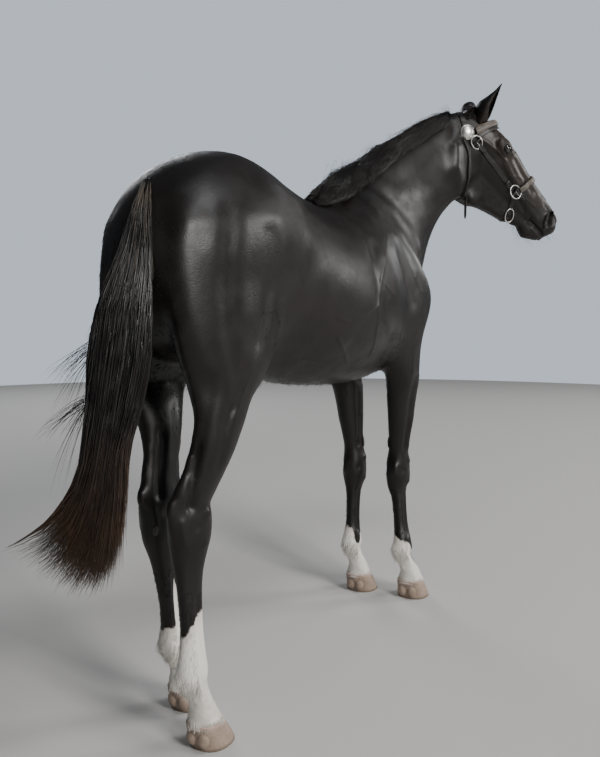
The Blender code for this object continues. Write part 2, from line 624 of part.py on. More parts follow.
# ---------------------------------------------------------------- bridle
def snapped(points, surface, count):
    """A smooth path through points of the head's frame, as (place, normal) pairs. A
    point's last number is 1 where the path lies on the surface and 0 where it hangs."""
    frame = head_frame()
    rows = smooth_rows([(*point[:3], 0, 0, 0, point[3]) for point in points], count)
    path = []
    for row in rows:
        loose = frame @ Vector(row[0:3])
        close, normal, _, _ = surface.find_nearest(loose)
        centre = frame @ Vector((row[0], 0, -0.05))
        outward = (loose - centre).normalized()
        on = min(1.0, max(0.0, row[6]))
        path.append((loose.lerp(close, on), outward.lerp(normal, on).normalized()))
    return path


def strap(name, points, surface, width=STRAP_WIDTH, thickness=STRAP, lift=LIFT, count=2):
    path = snapped(points, surface, count)
    for _ in range(3):                              # even out the normals along the strap
        normals = [n for _, n in path]
        path = [(p, (normals[max(i - 1, 0)] + n * 2 + normals[min(i + 1, len(path) - 1)])
                 .normalized()) for i, (p, n) in enumerate(path)]
    bm = bmesh.new()
    rings = []
    for i, (place, normal) in enumerate(path):
        tangent = path[min(i + 1, len(path) - 1)][0] - path[max(i - 1, 0)][0]
        side = normal.cross(tangent).normalized() * width / 2
        low, high = place + normal * lift, place + normal * (lift + thickness)
        rings.append([bm.verts.new(p) for p in (low - side, low + side, high + side, high - side)])
    for a, b in zip(rings, rings[1:]):
        for k in range(4):
            n = (k + 1) % 4
            bm.faces.new((a[k], a[n], b[n], b[k]))
    bm.faces.new(rings[0][::-1])
    bm.faces.new(rings[-1])
    return new_object(name, bm)


def on_surface(point, along, surface, lift):
    """A matrix on the head's surface: Z is the normal and X leads towards `along`."""
    frame = head_frame()
    close, normal, _, _ = surface.find_nearest(frame @ Vector(point))
    x = frame @ Vector(along) - close
    x = (x - normal * x.dot(normal)).normalized()
    turn = Matrix((x, normal.cross(x), normal)).transposed().to_4x4()
    return Matrix.Translation(close + normal * lift) @ turn


def ring(name, place, long_radius, short_radius, wire, bar=False):
    """An oval metal ring lying on the surface; `bar` adds a buckle's middle bar and tongue."""
    bm = bmesh.new()
    loops = []
    for k in range(RING_CORNERS):
        angle = 2 * math.pi * k / RING_CORNERS
        out = Vector((math.cos(angle) / long_radius, math.sin(angle) / short_radius, 0))
        centre = Vector((long_radius * math.cos(angle), short_radius * math.sin(angle), 0))
        loops.append([bm.verts.new(place @ (centre + out.normalized() * wire * math.cos(a)
                                            + Vector((0, 0, wire * math.sin(a)))))
                      for a in (j * math.pi / 2 for j in range(4))])
    for i, loop in enumerate(loops):
        after = loops[(i + 1) % RING_CORNERS]
        for j in range(4):
            n = (j + 1) % 4
            bm.faces.new((loop[j], loop[n], after[n], after[j]))
    found = new_object(name, bm)
    if not bar:
        return found
    bars = bmesh.new()
    size = Matrix.Diagonal((long_radius * 1.9, wire * 1.3, wire * 1.2, 1))
    bmesh.ops.create_cube(bars, size=1, matrix=place @ size)
    rod = new_object("bar", bars)
    boolean(found, "UNION", rod)
    done = evaluated_copy(found, name)
    bpy.data.objects.remove(found)
    bpy.data.objects.remove(rod)
    done.name = name
    return done


def rosette(name, place):
    bm = bmesh.new()
    bmesh.ops.create_cone(bm, cap_ends=True, segments=16, radius1=ROSETTE, radius2=ROSETTE * 0.8,
                          depth=0.006, matrix=place @ Matrix.Translation((0, 0, 0.003)))
    return new_object(name, bm)


def bridle(surface):
    found = []
    top = LIFT + STRAP + GAP
    for side, hand in ((-1, "right"), (1, "left")):
        def at(x, y, z, on=1.0):
            return (x, side * y, z, on)
        found.append(strap("cheek_strap_" + hand,
                           [at(0.066, 0.074, -0.045), at(0.105, 0.078, -0.047),
                            at(0.154, 0.080, -0.047), at(0.205, 0.080, -0.050),
                            at(0.252, 0.074, -0.051), at(0.310, 0.063, -0.052),
                            at(0.362, 0.054, -0.052)], surface))
        found.append(strap("jaw_strap_" + hand,
                           [at(0.378, 0.052, -0.058), at(0.398, 0.044, -0.082),
                            at(0.416, 0.036, -0.104), at(0.428, 0.031, -0.120)], surface,
                           width=STRAP_WIDTH * 0.9))
        found.append(rosette("rosette_" + hand,
                             on_surface((0.048, side * 0.073, -0.047), (0.2, side * 0.08, -0.047),
                                        surface, top + 0.0030)))
        buckle = (0.105, side * 0.078, -0.047)
        found.append(ring("upper_buckle_" + hand,
                          on_surface(buckle, (0.2, side * 0.08, -0.049), surface, top + 0.0045),
                          0.0240, 0.0190, 0.0030, bar=True))
        buckle = (0.366, side * 0.054, -0.052)
        found.append(ring("lower_buckle_" + hand,
                          on_surface(buckle, (0.5, side * 0.045, -0.054), surface, top + 0.0065),
                          0.0250, 0.0190, 0.0030, bar=True))
        place = (0.431, side * 0.030, -0.124)
        found.append(ring("ring_" + hand,
                          on_surface(place, (0.445, side * 0.02, -0.16), surface, top + 0.0033),
                          0.0250, 0.0180, 0.0028))
    found.append(strap("crownpiece",
                       [(0.024, -0.070, -0.034, 1), (0.014, -0.065, -0.027, 1),
                        (-0.006, -0.052, -0.010, 1), (-0.020, -0.026, 0.012, 1),
                        (-0.024, 0.000, 0.020, 1), (-0.020, 0.026, 0.012, 1),
                        (-0.006, 0.052, -0.010, 1), (0.014, 0.065, -0.027, 1),
                        (0.024, 0.070, -0.034, 1)], surface, width=0.024))
    found.append(strap("browband",
                       [(0.082, -0.077, -0.013, 1), (0.092, -0.078, 0.004, 0.8),
                        (0.106, -0.066, 0.044, 0), (0.113, -0.039, 0.069, 0),
                        (0.116, 0.000, 0.079, 0), (0.113, 0.039, 0.069, 0),
                        (0.106, 0.066, 0.044, 0), (0.092, 0.078, 0.004, 0.8),
                        (0.082, 0.077, -0.013, 1)], surface, width=0.028, thickness=0.012,
                       lift=LIFT + 0.002))
    found.append(strap("noseband",
                       [(0.381, -0.056, -0.030, 1), (0.386, -0.056, -0.010, 1),
                        (0.392, -0.050, 0.030, 1), (0.394, -0.026, 0.050, 1),
                        (0.395, 0.000, 0.053, 1), (0.394, 0.026, 0.050, 1),
                        (0.392, 0.050, 0.030, 1), (0.386, 0.056, -0.010, 1),
                        (0.381, 0.056, -0.030, 1)], surface, width=0.020))
    found.append(strap("chin_strap",
                       [(0.436, -0.029, -0.134, 1), (0.441, -0.020, -0.150, 1),
                        (0.444, 0.000, -0.158, 1), (0.441, 0.020, -0.150, 1),
                        (0.436, 0.029, -0.134, 1)], surface, width=0.018))
    found.append(strap("throatlatch",
                       [(0.060, -0.081, -0.080, 1), (0.100, -0.090, -0.095, 1),
                        (0.156, -0.095, -0.147, 1), (0.201, -0.076, -0.185, 1),
                        (0.232, -0.052, -0.212, 1), (0.246, -0.026, -0.226, 1),
                        (0.250, 0.000, -0.230, 1), (0.246, 0.026, -0.226, 1),
                        (0.232, 0.052, -0.212, 1), (0.201, 0.076, -0.185, 1),
                        (0.156, 0.095, -0.147, 1), (0.100, 0.090, -0.095, 1),
                        (0.060, 0.081, -0.080, 1)], surface, width=0.014))
    down = (head_frame().to_3x3().inverted() @ Vector((0, 0, -1))).normalized()
    loose_end = Vector((0.236, -0.060, -0.216))      # the strap's own end, past its buckle
    found.append(strap("throatlatch_end",
                       [(*(loose_end + down * reach), 0) for reach in (0.0, 0.028, 0.056, 0.084)],
                       surface, width=0.014))
    return found


for old in list(bpy.data.objects):
    bpy.data.objects.remove(old)
rough = build_flesh()
remesh = rough.modifiers.new("fuse", "REMESH")
remesh.mode = "VOXEL"
remesh.voxel_size = VOXEL
fused = evaluated_copy(rough, "fused")
bpy.data.objects.remove(rough)
group = fused.vertex_groups.new(name="body")
for vertex in fused.data.vertices:
    group.add([vertex.index], body_weight(vertex.co), "REPLACE")
soften = fused.modifiers.new("blend", "SMOOTH")
soften.factor, soften.iterations, soften.vertex_group = 0.5, 45, "body"
smooth = fused.modifiers.new("polish", "SMOOTH")
smooth.factor, smooth.iterations = 0.5, 4
fewer = fused.modifiers.new("fewer", "DECIMATE")
fewer.ratio = FLESH_RATIO
body = evaluated_copy(fused, "flesh")
bpy.data.objects.remove(fused)
whole = evaluated_copy(body, "whole")
whole.hide_render = True
surface = BVHTree.FromObject(whole, bpy.context.evaluated_depsgraph_get())

axes = head_frame().to_3x3()
head_node, body = split(body, "head", head_frame() @ Vector((-0.004, 0, -0.10)),
                        axes @ Vector((1, 0, -0.12)), axes @ Vector((0, 0, 1)),
                        (0.80, 0.50, 0.60))
neck_node, body = split(body, "neck", (0.63, -0.05, 1.43), (0.787, 0, 0.616), (0, 0, 1),
                        (0.90, 0.80, 0.86))
nodes = {"head": head_node, "neck": neck_node}
FEET = {
    "fore_right": ((0.600, -0.315, 0.86), (0.60, 0.60), 0.500, (0.625, -0.150), 0.059),
    "fore_left": ((0.600, 0.285, 0.86), (0.60, 0.60), 0.500, (0.588, 0.060), 0.059),
    "hind_right": ((-0.640, -0.340, 0.93), (0.62, 0.60), 0.610, (-0.682, -0.152), 0.055),
    "hind_left": ((-0.640, 0.260, 0.93), (0.62, 0.60), 0.610, (-0.548, 0.027), 0.055),
}
for place, (top, size, joint, toe, half_width) in FEET.items():
    leg, body = split(body, "leg_" + place + "_upper", top, (0, 0, -1), (1, 0, 0),
                      (top[2] - CORONET, size[1], size[0]))
    lower, leg = split(leg, "leg_" + place + "_lower", (top[0], top[1], joint), (0, 0, -1),
                       (1, 0, 0), (joint - CORONET, size[1], size[0]))
    leg.name = "leg_" + place + "_upper"
    nodes[leg.name], nodes[lower.name] = leg, lower
    nodes["hoof_" + place] = hoof("hoof_" + place, toe, half_width)
body.name = "trunk"
nodes["trunk"] = largest(body)

for side, hand in ((-1, "right"), (1, "left")):
    ball = eye("eye_" + hand, side)
    nodes["head"] = clear_of(nodes["head"], ball)
    nodes["eye_" + hand] = ball
nodes["ear_right"] = clear_of(ear("ear_right", (0.047, -0.054, 0.033), (-0.20, -0.26, 0.94),
                                  (0.80, -0.60, 0.10), EAR_LENGTH), whole)
nodes["ear_left"] = clear_of(ear("ear_left", (0.026, 0.052, 0.030), (0.09, 0.80, 0.72),
                                 (0.55, 0.50, -0.66), EAR_LENGTH), whole)
nodes["tail"] = clear_of(tail(), whole)
nodes["mane"] = clear_of(mane(), whole)
nodes["forelock"] = clear_of(forelock(), whole)
for piece in bridle(surface):
    nodes[piece.name] = piece
bpy.data.objects.remove(whole)

# ---------------------------------------------------------------- materials and place
MATERIALS = {  # colour, metallic, roughness
    "black coat": ((0.012, 0.010, 0.009), 0.0, 0.38),
    "black hair": ((0.010, 0.008, 0.007), 0.0, 0.45),
    "hoof horn": ((0.42, 0.33, 0.26), 0.0, 0.50),
    "dark eye": ((0.015, 0.008, 0.005), 0.0, 0.05),
    "black leather": ((0.018, 0.014, 0.012), 0.0, 0.42),
    "brown leather": ((0.090, 0.055, 0.035), 0.0, 0.42),
    "silver metal": ((0.78, 0.77, 0.75), 1.0, 0.18),
}


def material_of(name):
    for part, material in (("hoof", "hoof horn"), ("eye", "dark eye"), ("mane", "black hair"),
                           ("forelock", "black hair"), ("tail", "black hair"),
                           ("buckle", "silver metal"), ("rosette", "silver metal"),
                           ("ring_", "silver metal"), ("browband", "brown leather"),
                           ("strap", "black leather"), ("crownpiece", "black leather"),
                           ("noseband", "black leather"), ("throatlatch", "black leather")):
        if part in name:
            return material
    return "black coat"


made = {}
for label, (colour, metallic, roughness) in MATERIALS.items():
    material = bpy.data.materials.new(label)
    material.use_nodes = True
    shader = material.node_tree.nodes["Principled BSDF"]
    shader.inputs["Base Color"].default_value = (*colour, 1)
    shader.inputs["Metallic"].default_value = metallic
    shader.inputs["Roughness"].default_value = roughness
    made[label] = material
for name, node in nodes.items():
    node.name = name
    node.data.name = name
    node.data.materials.clear()
    node.data.materials.append(made[material_of(name)])
    for vertex in node.data.vertices:
        vertex.co += FRAME_SHIFT
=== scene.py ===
# %% [markdown]
# # A black riding horse, standing, at life size
#
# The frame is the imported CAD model: it fixes every size and place. This script gives it
# its looks: one smooth skin with its muscles, the glossy coat, the hair, the hooves, the
# eyes and the leather bridle. Everything is in metres, X runs forwards along the body,
# Y to the horse's left and Z up.
# %% Load the frame
import math

import bmesh
import bpy
import numpy as np
from mathutils import Euler, Matrix, Vector
from mathutils.bvhtree import BVHTree


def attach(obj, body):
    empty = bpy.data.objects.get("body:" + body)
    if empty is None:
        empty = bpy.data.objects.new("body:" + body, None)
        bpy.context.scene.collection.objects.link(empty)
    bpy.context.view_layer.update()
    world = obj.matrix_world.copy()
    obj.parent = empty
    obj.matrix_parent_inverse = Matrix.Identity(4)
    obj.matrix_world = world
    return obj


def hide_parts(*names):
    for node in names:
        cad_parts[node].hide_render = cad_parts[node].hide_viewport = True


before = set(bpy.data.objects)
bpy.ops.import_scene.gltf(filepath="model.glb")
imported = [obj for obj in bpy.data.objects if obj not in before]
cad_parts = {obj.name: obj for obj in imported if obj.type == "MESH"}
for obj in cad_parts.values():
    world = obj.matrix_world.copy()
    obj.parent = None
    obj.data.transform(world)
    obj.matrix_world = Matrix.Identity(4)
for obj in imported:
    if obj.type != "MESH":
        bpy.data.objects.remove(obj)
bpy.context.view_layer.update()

# %% [markdown]
# ## Camera, floor and light
# A coat this dark shows its form only by what it mirrors, so the light matters more than
# on a pale thing. A small hard lamp would give white dots. Large soft panels give the
# broad satin bands that a groomer calls bloom: a key panel on the right, weaker ones
# in front and overhead, and one from the left for the far side. The room's own light
# is kept low, or it would grey the whole coat, while the wall behind stays pale.
# %% Camera, floor and light
EYE_POINT = Vector((-2.5365, -1.3755, 1.1955))
LOOK_YAW, LOOK_DOWN = math.radians(31.87), math.radians(5.774)


def aim(obj, direction):
    obj.rotation_euler = Vector(direction).to_track_quat("-Z", "Y").to_euler()


def look_direction():
    flat = math.cos(LOOK_DOWN)
    return Vector((math.cos(LOOK_YAW) * flat, math.sin(LOOK_YAW) * flat, -math.sin(LOOK_DOWN)))


def add_camera():
    lens = bpy.data.cameras.new("camera")
    lens.sensor_fit = "VERTICAL"
    lens.sensor_height = 36.0
    lens.lens = 40.21
    camera = bpy.data.objects.new("camera", lens)
    bpy.context.scene.collection.objects.link(camera)
    camera.location = EYE_POINT
    aim(camera, look_direction())
    bpy.context.scene.camera = camera


def add_panel(name, place, target, size, power, colour):
    light = bpy.data.lights.new(name, "AREA")
    light.shape = "RECTANGLE"
    light.size, light.size_y = size
    light.energy = power
    light.color = colour
    panel = bpy.data.objects.new(name, light)
    panel.location = place
    aim(panel, Vector(target) - Vector(place))
    bpy.context.scene.collection.objects.link(panel)


def matte(name, colour, roughness):
    material = bpy.data.materials.new(name)
    material.use_nodes = True
    shader = material.node_tree.nodes["Principled BSDF"]
    shader.inputs["Base Color"].default_value = (*colour, 1)
    shader.inputs["Roughness"].default_value = roughness
    return material


add_camera()
add_panel("key panel", (-3.3, -7.9, 4.9), (0, 0, 1.15), (2.6, 2.6), 760, (1.0, 0.98, 0.95))
add_panel("front panel", (6.0, -6.0, 3.9), (0, 0, 1.15), (2.6, 2.6), 310, (1.0, 0.99, 0.97))
add_panel("nose panel", (8.6, 0.0, 3.9), (0, 0, 1.15), (2.6, 2.6), 80, (1.0, 1.0, 1.0))
add_panel("high panel", (-0.6, -3.6, 7.6), (0, 0, 1.3), (2.0, 2.0), 160, (0.97, 0.98, 1.0))
add_panel("left panel", (4.6, 6.6, 4.6), (0, 0, 1.1), (3.0, 3.0), 200, (0.96, 0.98, 1.0))
world = bpy.data.worlds.new("studio")
world.use_nodes = True
room = world.node_tree
lit, seen = room.nodes["Background"], room.nodes.new("ShaderNodeBackground")
mix, path = room.nodes.new("ShaderNodeMixShader"), room.nodes.new("ShaderNodeLightPath")
for background, strength in ((lit, 0.13), (seen, 0.85)):
    background.inputs["Color"].default_value = (0.70, 0.78, 0.88, 1)
    background.inputs["Strength"].default_value = strength
room.links.new(path.outputs["Is Camera Ray"], mix.inputs[0])
room.links.new(lit.outputs[0], mix.inputs[1])
room.links.new(seen.outputs[0], mix.inputs[2])
room.links.new(mix.outputs[0], room.nodes["World Output"].inputs[0])
bpy.context.scene.world = world
bpy.ops.object.select_all(action="DESELECT")
bpy.ops.mesh.primitive_circle_add(vertices=128, radius=9.0, fill_type="NGON",
                                  location=(0, 0, -0.001))
floor = bpy.context.object
floor.name = "floor"
floor.data.materials.append(matte("pale floor", (0.52, 0.51, 0.495), 0.9))
print("camera at", [round(v, 2) for v in EYE_POINT])

# %% [markdown]
# ## The body's shape
# A horse's trunk, neck, head and legs are each close to a bent tube whose slices are
# egg-shaped. A sculptor would build them up in clay. Here each tube is a list of
# slices, at the places where an anatomist would measure, and a smooth curve runs
# through them. The tubes are then melted into one mesh by a voxel remesh. The same
# slices made the CAD solids, so the skin and the solids have one outline.
# %% Slices and how a tube is made of them
SHIFT = Vector((-0.1657, 0.1182, 0))      # from the tables' origin to the frame's origin
HEAD_LENGTH = 0.65
SCALE = HEAD_LENGTH / 0.64
POLL = Vector((0.9735, -0.1856, 1.915))
HEAD_TURN, HEAD_DROP, HEAD_ROLL = (math.radians(a) for a in (-41.0, 44.0, 10.0))
CORONET = 0.075                            # height where the hair ends and the hoof starts
EYE_PLACE = Vector((0.208, 0.078, 0.026))  # in the head's own axes, left side
EYE_RADIUS = 0.022
EAR_LENGTH = 0.148


def smooth_rows(rows, steps):
    """Rows of numbers with `steps` rows between each two, on a smooth curve."""
    rows = np.array(rows, float)
    place = np.r_[0.0, np.cumsum(np.linalg.norm(np.diff(rows[:, :6], axis=0), axis=1))]
    slope = np.gradient(rows, place, axis=0)
    found = []
    for i in range(len(rows) - 1):
        span = place[i + 1] - place[i]
        for k in range(steps):
            t = k / steps
            t2, t3 = t * t, t * t * t
            found.append((2 * t3 - 3 * t2 + 1) * rows[i] + (t3 - 2 * t2 + t) * span * slope[i]
                         + (3 * t2 - 2 * t3) * rows[i + 1] + (t3 - t2) * span * slope[i + 1])
    found.append(rows[-1])
    return np.array(found)


def section_points(row, forward, count):
    """The corners of one slice, turned to face along `forward`."""
    top, bottom = row[0:3], row[3:6]
    left, right, level, upper, lower = row[6:11]
    up = top - bottom
    side = np.cross(up, forward)
    side /= np.linalg.norm(side)
    middle = bottom + level * up
    points = []
    for k in range(count):
        angle = 2 * math.pi * k / count
        s, c = math.sin(angle), math.cos(angle)
        power = 2.0 / (upper if c > 0 else lower)
        high = math.copysign(abs(c) ** power, c)
        wide = math.copysign(abs(s) ** power, s)
        reach = (1 - level) if c > 0 else level
        points.append(middle + up * (high * reach) + side * wide * (left if s > 0 else right))
    return points


def cover(bm, rings, caps=True):
    """Faces from each ring of corners to the next, and one over each end."""
    for a, b in zip(rings, rings[1:]):
        for k in range(len(a)):
            n = (k + 1) % len(a)
            bm.faces.new((a[k], a[n], b[n], b[k]))
    if caps:
        bm.faces.new(rings[0][::-1])
        bm.faces.new(rings[-1])


def loft(bm, slices, steps=4, count=28):
    """A closed skin through the slices. Each is the middle of its top and bottom edge, its
    width left and right, the level of its widest place and its roundness above and below."""
    rows = smooth_rows(slices, steps)
    forward = np.gradient((rows[:, 0:3] + rows[:, 3:6]) / 2, axis=0)
    cover(bm, [[bm.verts.new(p) for p in section_points(row, direction, count)]
               for row, direction in zip(rows, forward)])


def lump(bm, centre, radii, turn=(0, 0, 0), axes=Matrix.Identity(4)):
    """An ellipsoid, such as a muscle's belly; `turn` is Euler angles in degrees."""
    spin = Euler([math.radians(a) for a in turn]).to_matrix().to_4x4()
    place = axes @ Matrix.Translation(Vector(centre)) @ spin @ Matrix.Diagonal((*radii, 1))
    bmesh.ops.create_icosphere(bm, subdivisions=3, radius=1, matrix=place)

print("slices join into tubes of 28 corners")

# %% [markdown]
# The trunk is one barrel from the dock to the breast. Its back dips behind the withers,
# rises over the loin to the croup and falls away to the tail. The breast muscles and
# the points of the hips are lumps pressed into it.
# %% Trunk and neck
def trunk(bm):
    # x, y, back line, belly line, half-width, level of the widest, roundness up, down
    rows = [
        (-0.812, -0.030, 1.300, 1.215, 0.035, 0.50, 2.0, 2.0),
        (-0.795, -0.030, 1.370, 1.150, 0.090, 0.50, 2.0, 2.0),
        (-0.755, -0.028, 1.445, 1.090, 0.145, 0.50, 2.0, 2.0),
        (-0.690, -0.025, 1.508, 1.040, 0.190, 0.52, 2.1, 2.0),
        (-0.580, -0.020, 1.565, 1.005, 0.220, 0.55, 2.1, 2.0),
        (-0.450, -0.015, 1.592, 0.975, 0.234, 0.60, 2.0, 1.9),
        (-0.340, -0.010, 1.580, 0.950, 0.230, 0.60, 1.9, 1.9),
        (-0.200, -0.006, 1.543, 0.920, 0.236, 0.54, 1.8, 2.0),
        (-0.060, -0.003, 1.506, 0.895, 0.255, 0.50, 1.8, 2.1),
        (0.060, 0.000, 1.489, 0.882, 0.265, 0.47, 1.9, 2.1),
        (0.180, 0.000, 1.510, 0.874, 0.260, 0.45, 1.9, 2.1),
        (0.300, 0.000, 1.566, 0.870, 0.236, 0.44, 1.75, 2.1),
        (0.400, 0.000, 1.612, 0.875, 0.210, 0.42, 1.6, 2.1),
        (0.500, 0.000, 1.610, 0.892, 0.190, 0.40, 1.6, 2.1),
        (0.600, 0.000, 1.540, 0.925, 0.178, 0.38, 1.7, 2.0),
        (0.700, 0.000, 1.430, 0.975, 0.160, 0.38, 1.8, 2.0),
        (0.770, 0.000, 1.330, 1.025, 0.134, 0.42, 1.9, 2.0),
        (0.806, 0.000, 1.255, 1.075, 0.096, 0.48, 2.0, 2.0),
        (0.824, 0.000, 1.200, 1.120, 0.045, 0.50, 2.0, 2.0),
    ]
    loft(bm, [(*Vector((x, y, top)), *Vector((x, y, bottom)), width, width, *shape)
              for x, y, top, bottom, width, *shape in rows])
    for side in (-1, 1):
        lump(bm, (0.735, side * 0.080, 1.150), (0.085, 0.080, 0.115), (0, 10, 0))     # breast
        lump(bm, (-0.320, side * 0.172 - 0.012, 1.425), (0.070, 0.034, 0.045), (0, 20, 0))  # hip


def neck(bm):
    # crest x, y, z; underside x, y, z; half-width, level, roundness up, down
    rows = [
        (0.300, 0.000, 1.540, 0.700, 0.000, 0.980, 0.150, 0.40, 1.8, 2.0),
        (0.430, 0.000, 1.625, 0.800, -0.005, 1.120, 0.140, 0.42, 1.7, 2.0),
        (0.560, -0.012, 1.715, 0.845, -0.030, 1.270, 0.118, 0.44, 1.6, 2.1),
        (0.680, -0.045, 1.785, 0.870, -0.067, 1.398, 0.098, 0.45, 1.6, 2.2),
        (0.790, -0.090, 1.845, 0.903, -0.117, 1.502, 0.086, 0.46, 1.6, 2.2),
        (0.884, -0.139, 1.891, 0.954, -0.172, 1.583, 0.076, 0.48, 1.7, 2.2),
        (0.962, -0.181, 1.904, 1.012, -0.218, 1.642, 0.066, 0.50, 1.8, 2.2),
    ]
    loft(bm, [(*Vector(row[0:3]), *Vector(row[3:6]), row[6], *row[6:]) for row in rows])

print("trunk and neck are defined")

# %% [markdown]
# The head has axes of its own, since it turns right, drops and leans: X runs down the
# face from the poll, Y to the left and Z out of the forehead. One loft is the skull with
# its flat sides, a second is the lower jaw, and lumps are the eye arches, the cheeks,
# the facial crests and the nostrils.
# %% Head
def head_frame():
    turn = Matrix.Rotation(HEAD_TURN, 4, "Z")
    drop = Matrix.Rotation(HEAD_DROP, 4, "Y")
    roll = Matrix.Rotation(HEAD_ROLL, 4, "X")
    return Matrix.Translation(POLL) @ turn @ drop @ roll @ Matrix.Scale(SCALE, 4)


HEAD = head_frame()


def in_head_axes(points):
    """An array of points, turned into the head's own axes."""
    return (points - np.array(HEAD.translation)) @ np.array(HEAD.to_3x3())


def head_loft(bm, rows):
    loft(bm, [(*HEAD @ Vector((along, 0, top)), *HEAD @ Vector((along, 0, bottom)),
               width * SCALE, width * SCALE, *shape)
              for along, top, bottom, width, *shape in rows])


def head_lump(bm, *shape):
    lump(bm, *shape, axes=HEAD)


def head(bm):
    # along the face, face line, palate line, half-width, level, roundness up, down
    head_loft(bm, [
        (-0.045, -0.045, -0.100, 0.025, 0.50, 2.0, 2.0),
        (-0.030, -0.015, -0.125, 0.045, 0.50, 2.0, 2.0),
        (0.000, 0.010, -0.150, 0.060, 0.60, 2.0, 2.0),
        (0.050, 0.040, -0.160, 0.071, 0.62, 2.1, 2.0),
        (0.100, 0.060, -0.165, 0.077, 0.64, 2.3, 2.0),
        (0.160, 0.073, -0.165, 0.082, 0.66, 2.5, 2.0),
        (0.220, 0.074, -0.155, 0.080, 0.66, 2.6, 2.0),
        (0.280, 0.066, -0.145, 0.071, 0.64, 2.6, 2.0),
        (0.340, 0.057, -0.130, 0.060, 0.62, 2.5, 2.1),
        (0.420, 0.048, -0.115, 0.050, 0.60, 2.4, 2.1),
        (0.500, 0.042, -0.100, 0.046, 0.56, 2.4, 2.2),
        (0.560, 0.037, -0.088, 0.048, 0.52, 2.4, 2.2),
        (0.598, 0.020, -0.074, 0.044, 0.56, 2.3, 2.2),
        (0.618, 0.002, -0.056, 0.037, 0.58, 2.2, 2.1),
        (0.631, -0.012, -0.036, 0.018, 0.50, 2.0, 2.0),
    ])
    # lower jaw
    head_loft(bm, [
        (0.030, -0.040, -0.140, 0.035, 0.50, 2.0, 2.0),
        (0.050, -0.030, -0.175, 0.053, 0.50, 2.0, 2.4),
        (0.085, -0.030, -0.207, 0.062, 0.45, 2.0, 2.8),
        (0.140, -0.030, -0.228, 0.066, 0.42, 2.0, 3.0),
        (0.200, -0.030, -0.230, 0.063, 0.40, 2.0, 3.0),
        (0.260, -0.030, -0.214, 0.056, 0.38, 2.0, 2.8),
        (0.340, -0.030, -0.182, 0.043, 0.38, 2.0, 2.6),
        (0.420, -0.030, -0.152, 0.034, 0.38, 2.0, 2.4),
        (0.500, -0.030, -0.131, 0.031, 0.40, 2.0, 2.4),
        (0.550, -0.030, -0.130, 0.033, 0.42, 2.0, 2.4),
        (0.577, -0.035, -0.119, 0.030, 0.45, 2.0, 2.3),
        (0.594, -0.050, -0.103, 0.020, 0.50, 2.0, 2.0),
    ])
    for side in (-1, 1):
        head_lump(bm, (0.200, side * 0.074, 0.022), (0.042, 0.024, 0.032), (0, 0, -side * 8))
        head_lump(bm, (0.135, side * 0.050, -0.105), (0.080, 0.032, 0.090), (0, -15, 0))
        head_lump(bm, (0.070, side * 0.035, 0.022), (0.060, 0.030, 0.028))
        head_lump(bm, (0.300, side * 0.056, -0.025), (0.075, 0.014, 0.012), (0, 4, -side * 12))
        head_lump(bm, (0.578, side * 0.036, -0.022), (0.040, 0.016, 0.028), (0, 25, 0))

print("head axes:", [round(v, 3) for v in HEAD.translation])

# %% [markdown]
# A leg is bone, tendon and skin below the knee or hock, so its slices there are small
# and square with a sudden swelling at each joint. Above, they widen into the forearm or
# the gaskin and run up into the trunk. Each leg stands in its own place, so its slices
# are hung from the middles of its knee or hock, its fetlock and its toe.
# %% Legs, and all of it together
def leg_loft(bm, rows, side):
    # height, front x, back x, line y, outer and inner half-width, level, roundness
    slices = []
    for z, front, back, y, outer, inner, *shape in rows:
        wide = (inner, outer) if side > 0 else (outer, inner)
        slices.append((*Vector((front, y, z)), *Vector((back, y, z)), *wide, *shape))
    loft(bm, slices, steps=3, count=24)


